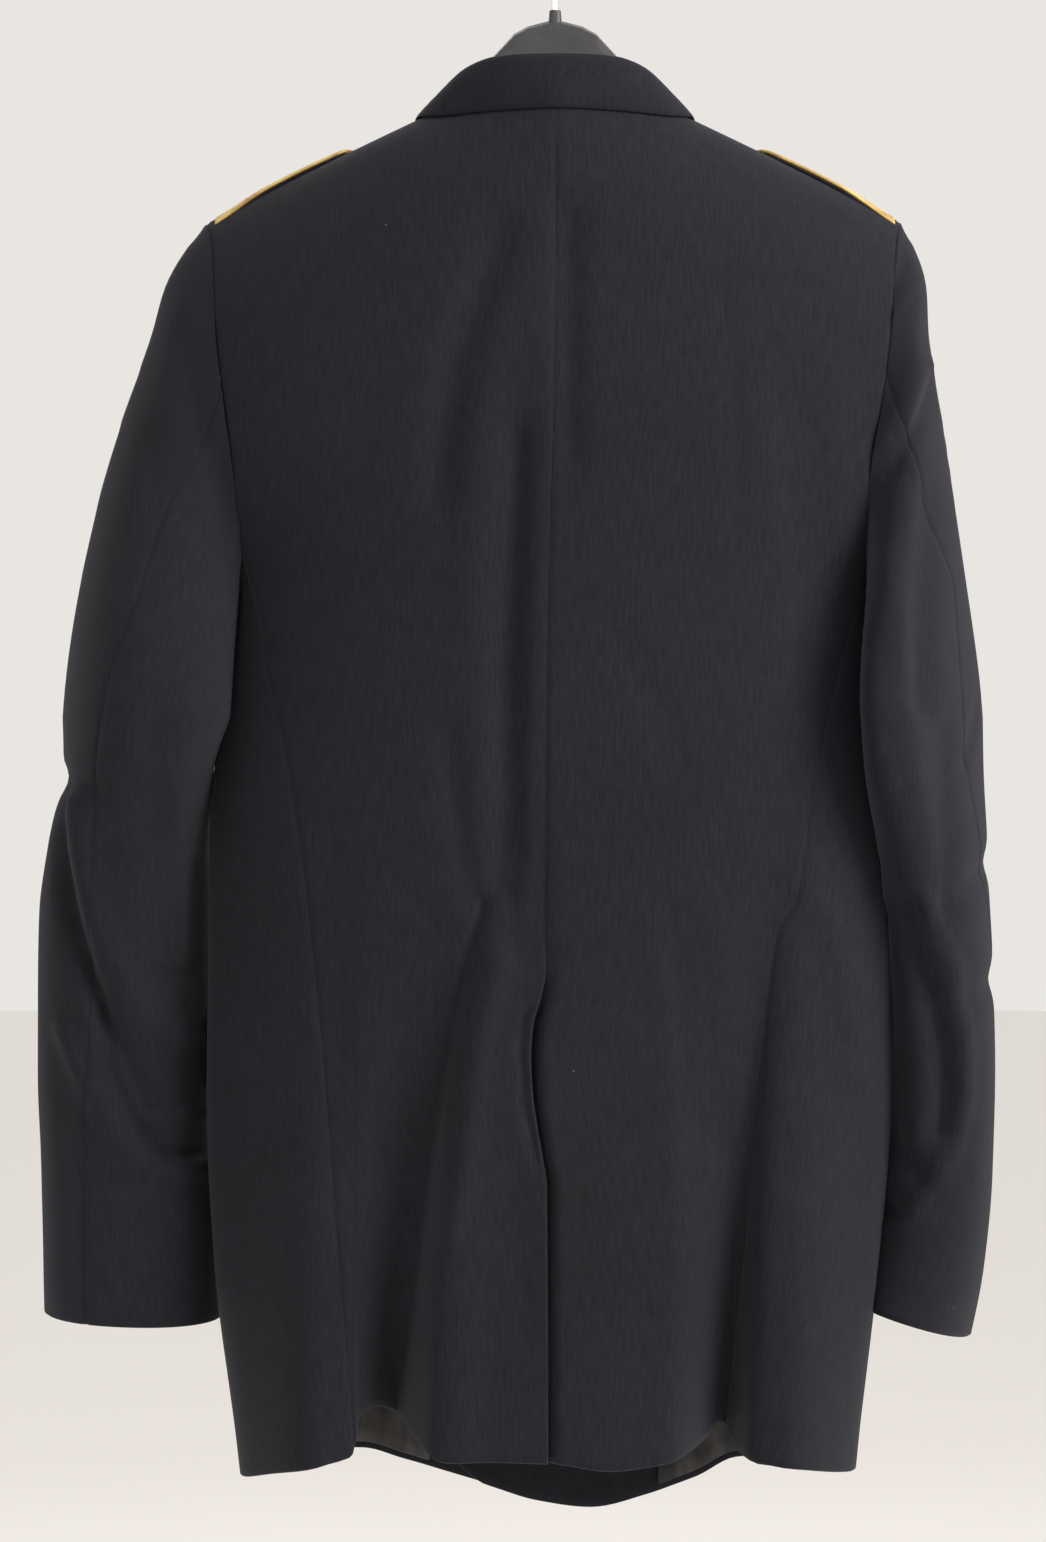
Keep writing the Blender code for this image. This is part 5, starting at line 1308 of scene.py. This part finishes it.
def add_rope(side, look):
    """Both strands of the rope as one piece with closed ends."""
    rings = np.concatenate([braid_rope(side, strand) for strand in (0, 1)])
    points = rings.reshape(-1, 3)
    count = ROPE_FACETS
    rows = len(rings) // 2
    faces = []
    for strand in (0, 1):
        base = strand * rows * count
        top = base + (rows - 1) * count
        for ring in range(base, top, count):
            for one in range(count):
                two = (one + 1) % count
                faces.append((ring + one, ring + two, ring + count + two, ring + count + one))
        faces.append(tuple(reversed(range(base, base + count))))
        faces.append(tuple(range(top, top + count)))
    name = "braid_rope_" + side
    made = add_object(name, mesh_from(name, points, faces, points[:, :2] * MM))
    made.data.materials.append(look)
    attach(made, "root")


# Finishes

def put(tree, holder, sockets):
    """Link or set sockets by their names."""
    for name, value in sockets.items():
        if isinstance(value, bpy.types.NodeSocket):
            tree.links.new(value, holder.inputs[name])
        else:
            holder.inputs[name].default_value = value


def new_node(tree, kind, sockets, **settings):
    """A shader node with its settings made and its sockets linked or set."""
    made = tree.nodes.new("ShaderNode" + kind)
    for name, value in settings.items():
        setattr(made, name, value)
    put(tree, made, sockets)
    return made


def new_material(name, colour, rough, metal=0.0):
    """A material with its shader and texture coordinates, ready for more nodes."""
    made = bpy.data.materials.new(name)
    made.use_nodes = True
    tree = made.node_tree
    shader = tree.nodes["Principled BSDF"]
    put(tree, shader, {"Base Color": (*colour, 1.0), "Roughness": rough, "Metallic": metal})
    where = tree.nodes.new("ShaderNodeTexCoord").outputs
    return made, tree, shader, where["UV"], where["Object"]


def stretched(tree, source, scale, turn=0.0):
    """Texture coordinates turned, and stretched by a scale on each axis."""
    sockets = {"Scale": scale, "Rotation": (0.0, 0.0, math.radians(turn)), "Vector": source}
    return new_node(tree, "Mapping", sockets).outputs["Vector"]


def noise(tree, source, scale, detail=2.0, rough=0.5):
    """Noise at a place, with a size and detail. A stretched source has three scales."""
    if isinstance(scale, tuple):
        source, scale = stretched(tree, source, scale), 1.0
    sockets = {"Scale": scale, "Detail": detail, "Roughness": rough, "Vector": source}
    return new_node(tree, "TexNoise", sockets).outputs["Fac"]


def bands(tree, source, scale, direction):
    """Wave bands, such as the ribs of a twill."""
    made = new_node(tree, "TexWave", {"Scale": scale, "Vector": source}, bands_direction=direction)
    return made.outputs["Fac"]


def ramp(tree, source, *stops):
    """A colour ramp with its stops, each a place and a colour or a grey."""
    made = new_node(tree, "ValToRGB", {"Fac": source})
    ends = made.color_ramp.elements
    while len(ends) < len(stops):
        ends.new(0.5)
    for element, (place, colour) in zip(ends, stops):
        element.position = place
        element.color = (*colour, 1.0) if isinstance(colour, tuple) else (colour, colour, colour, 1.0)
    return made.outputs["Color"]


def shade(colour, share):
    """A lighter or darker shade of a colour."""
    return tuple(share * one for one in colour)


def varied(tree, source, low, high):
    """A value that runs between two others with a texture."""
    return new_node(tree, "MapRange", {"To Min": low, "To Max": high, "Value": source}).outputs["Result"]


def mixed(tree, share, first, second, blend="MIX"):
    """Two colours mixed by a share."""
    made = new_node(tree, "Mix", {}, data_type="RGBA", blend_type=blend)
    used = {one.name: one.identifier for one in made.inputs if one.enabled}
    places = {one.identifier: place for place, one in enumerate(made.inputs)}
    values = zip(("Factor", "A", "B"), (share, first, second))
    put(tree, made, {places[used[name]]: value for name, value in values})
    return [one for one in made.outputs if one.enabled][0]


def added(tree, *parts):
    """Sum of textures, each times its weight."""
    total = 0.0
    for source, weight in parts:
        total = new_node(tree, "Math", {0: source, 1: weight, 2: total}, operation="MULTIPLY_ADD").outputs[0]
    return total


def finished(tree, shader, colour, height, distance, strength, **more):
    """The shader's colour, its bump from a height, and any other socket."""
    bump = new_node(tree, "Bump", {"Strength": strength, "Distance": distance, "Height": height})
    put(tree, shader, {"Base Color": colour, "Normal": bump.outputs["Normal"], **more})


def wool():
    """Navy wool with a steep twill, nap, faint uneven patches, lint and a soft sheen."""
    made, tree, shader, woven, place = new_material("navy_wool", WOOL, 0.86)
    put(tree, shader, {"Sheen Weight": 0.07, "Sheen Roughness": 0.45,
                       "Sheen Tint": (0.75, 0.77, 0.9, 1.0), "Specular IOR Level": 0.16})
    twill = bands(tree, stretched(tree, woven, (1.0, 1.0, 1.0), TWILL_ANGLE), TWILL_SCALE, "X")
    nap = noise(tree, woven, 2600.0, 3.0, 0.6)
    slub = noise(tree, woven, (620.0, 70.0, 1.0), 3.0, 0.6)
    patch = noise(tree, place, 9.0, 3.0, 0.55)
    base = ramp(tree, patch, (0.30, WOOL_DARK), (0.52, WOOL), (0.74, WOOL_LIGHT))
    tint = ramp(tree, noise(tree, place, 3.5), (0.40, 0.0), (0.70, 0.35))
    base = mixed(tree, tint, base, (*WOOL_BLUE, 1.0))
    base = mixed(tree, 1.0, base, ramp(tree, slub, (0.30, 0.70), (0.70, 1.32)), "MULTIPLY")
    base = mixed(tree, 1.0, base, ramp(tree, twill, (0.15, 0.90), (0.85, 1.08)), "MULTIPLY")
    specks = new_node(tree, "TexVoronoi", {"Scale": 26.0, "Vector": place}).outputs["Distance"]
    base = mixed(tree, ramp(tree, specks, (0.0, 0.8), (0.016, 0.0)), base, (*LINT, 1.0))
    finished(tree, shader, base, added(tree, (twill, 0.35), (nap, 0.5), (slub, 0.5)), 0.0002, 0.9)
    return made


def satin():
    """Lining satin: smooth, close-ribbed and shiny."""
    made, tree, shader, woven, place = new_material("lining_satin", SATIN, 0.4)
    put(tree, shader, {"Anisotropic": 0.5, "Specular IOR Level": 0.22})
    fine = noise(tree, woven, (2400.0, 120.0, 1.0))
    broad = noise(tree, place, (90.0, 40.0, 22.0))
    # The satin's colour follows the same broad noise that raises its bulges: painted sheen on the bulges and
    # painted shade in the hollows between them
    base = ramp(tree, broad, (0.34, shade(SATIN, 0.3)), (0.66, shade(SATIN, 2.4)))
    finished(tree, shader, base, added(tree, (fine, 0.4), (broad, 1.0)), 0.0006, 0.6)
    return made


def gold_thread():
    """Gold thread laid close in ribs over the braid."""
    made, tree, shader, woven, place = new_material("gold_thread", GOLD, 0.45, 0.35)
    ribs = bands(tree, woven, BRAID_RIBS, "Y")
    fine = noise(tree, woven, (300.0, 3000.0, 1.0), 3.0, 0.6)
    base = ramp(tree, noise(tree, place, 60.0, 3.0, 0.6), (0.32, GOLD_DARK), (0.62, GOLD))
    # The grooves between the ribs are mixed towards the dark gold: painted shade in the grooves
    base = mixed(tree, ramp(tree, ribs, (0.1, 0.45), (0.6, 0.0)), base, (*GOLD_DARK, 1.0))
    finished(tree, shader, base, added(tree, (ribs, 1.0), (fine, 0.4)), 0.0005, 0.9)
    return made


def plastic():
    """Black moulded plastic, a little scuffed."""
    made, tree, shader, woven, place = new_material("black_plastic", PLASTIC, 0.42)
    grain = noise(tree, place, 1400.0)
    scuff = noise(tree, place, (60.0, 12.0, 60.0), 4.0, 0.6)
    base = ramp(tree, scuff, (0.35, shade(PLASTIC, 0.9)), (0.75, shade(PLASTIC, 1.3)))
    finished(tree, shader, base, grain, 0.0001, 0.5, Roughness=varied(tree, scuff, 0.34, 0.56))
    return made


def metal(name, colour, rough, worn):
    """Polished metal with fine scratches and duller patches."""
    made, tree, shader, woven, place = new_material(name, colour, rough, 1.0)
    dull = noise(tree, place, 220.0, 4.0, 0.6)
    scratch = noise(tree, place, (300.0, 300.0, 2400.0), 3.0, 0.6)
    base = ramp(tree, dull, (0.35, worn), (0.6, colour))
    uneven = varied(tree, dull, rough * 0.8, rough * 1.6)
    finished(tree, shader, base, scratch, 0.00006, 0.5, Roughness=uneven)
    return made


# Dressing each node

def dress(piece, node):
    """The piece stands for its CAD node, which it hides, and rides on the one body."""
    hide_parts(node)
    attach(piece, "root")


def dress_cloth(looks):
    """Every cloth piece as a thin shell."""
    for side in SIDES:
        made = {kind: add_wall(kind + "_" + side, looks[look], thick, *shape(side))
                for kind, shape, look, thick, slot, rest in PANELS}
        add_rope(side, looks["gold"])
        for kind, shape, look, thick, slot, rest in PANELS:
            dress(made[kind], kind + "_" + side)
    piece = add_wall("collar", looks["wool"], CLOTH, *collar())
    rounder = piece.modifiers.new("smoother", "SUBSURF")
    rounder.levels = 1
    rounder.render_levels = 1
    dress(piece, "collar")


def dress_hard(looks):
    """The hanger and buttons keep their solids, with finer finishes."""
    finishes = {"hanger_body": "plastic", "hanger_hook": "chrome"}
    for name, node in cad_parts.items():
        finish = finishes.get(name, "brass" if "button" in name else None)
        if finish:
            for place in node.material_slots:
                place.material = looks[finish]


PANELS = (
    ("back", back_panel, "wool", CLOTH, "navy_wool", "hanger_body"),
    ("side", side_panel, "wool", CLOTH, "navy_wool", "back_SIDE_cloth"),
    ("front", front_panel, "wool", CLOTH, "navy_wool", "hanger_body"),
    ("lapel", lapel, "wool", LAPEL_THICK, "navy_wool", "front_SIDE_cloth"),
    ("pocket_flap", pocket_flap, "wool", CLOTH, "navy_wool", "front_SIDE_cloth"),
    ("lining", lining, "satin", LINING, "satin_lining", "front_SIDE_cloth"),
    ("top_sleeve", top_sleeve, "wool", CLOTH, "navy_wool", "back_SIDE_cloth"),
    ("under_sleeve", under_sleeve, "wool", CLOTH, "navy_wool", "back_SIDE_cloth"),
    ("shoulder_loop", shoulder_loop, "wool", LOOP_THICK, "navy_wool", "back_SIDE_cloth"),
    ("shoulder_braid", shoulder_braid, "gold", BRAID_THICK, "gold_braid", "shoulder_loop_SIDE_cloth"),
)


# Camera, light and floor

def add_camera():
    """The photograph's view, from behind the jacket."""
    lens = bpy.data.cameras.new("view")
    lens.sensor_fit = "VERTICAL"
    lens.sensor_height = CAMERA_SENSOR
    lens.lens = CAMERA_LENS
    lens.dof.use_dof = False
    made = add_object("view", lens)
    made.location = CAMERA_AT
    made.rotation_euler = (math.radians(90.0), 0.0, math.radians(180.0))
    bpy.context.scene.camera = made


def add_light(name, at, aim, size, power, colour):
    """A soft square light aimed at a point."""
    lamp = bpy.data.lights.new(name, "AREA")
    lamp.shape = "SQUARE"
    lamp.size = size
    lamp.energy = power
    lamp.color = colour
    made = add_object(name, lamp)
    made.location = at
    made.rotation_euler = (Vector(aim) - Vector(at)).to_track_quat("-Z", "Y").to_euler()


def add_stage():
    """A plain pale floor and an even pale surround."""
    mesh = bpy.data.meshes.new("floor")
    shape = bmesh.new()
    bmesh.ops.create_circle(shape, cap_ends=True, segments=96, radius=FLOOR_RADIUS)
    shape.to_mesh(mesh)
    shape.free()
    mesh.materials.append(new_material("floor_paint", FLOOR_COLOUR, 0.9)[0])
    floor = add_object("floor", mesh)
    floor.location = (0.0, 0.0, FLOOR_Z)
    world = bpy.data.worlds.new("surround")
    world.use_nodes = True
    backdrop = world.node_tree.nodes["Background"]
    put(world.node_tree, backdrop, {"Color": (*SURROUND, 1.0), "Strength": SURROUND_STRENGTH})
    bpy.context.scene.world = world
    bpy.context.scene.view_settings.view_transform = "Standard"


LOOKS = {"wool": wool(), "satin": satin(), "gold": gold_thread(), "plastic": plastic(),
         "brass": metal("gilt_brass", BRASS, 0.24, BRASS_DULL),
         "chrome": metal("chrome_wire", CHROME, 0.14, CHROME_DULL)}
dress_cloth(LOOKS)
dress_hard(LOOKS)
add_camera()
for light in LIGHTS:
    add_light(*light)
add_stage()
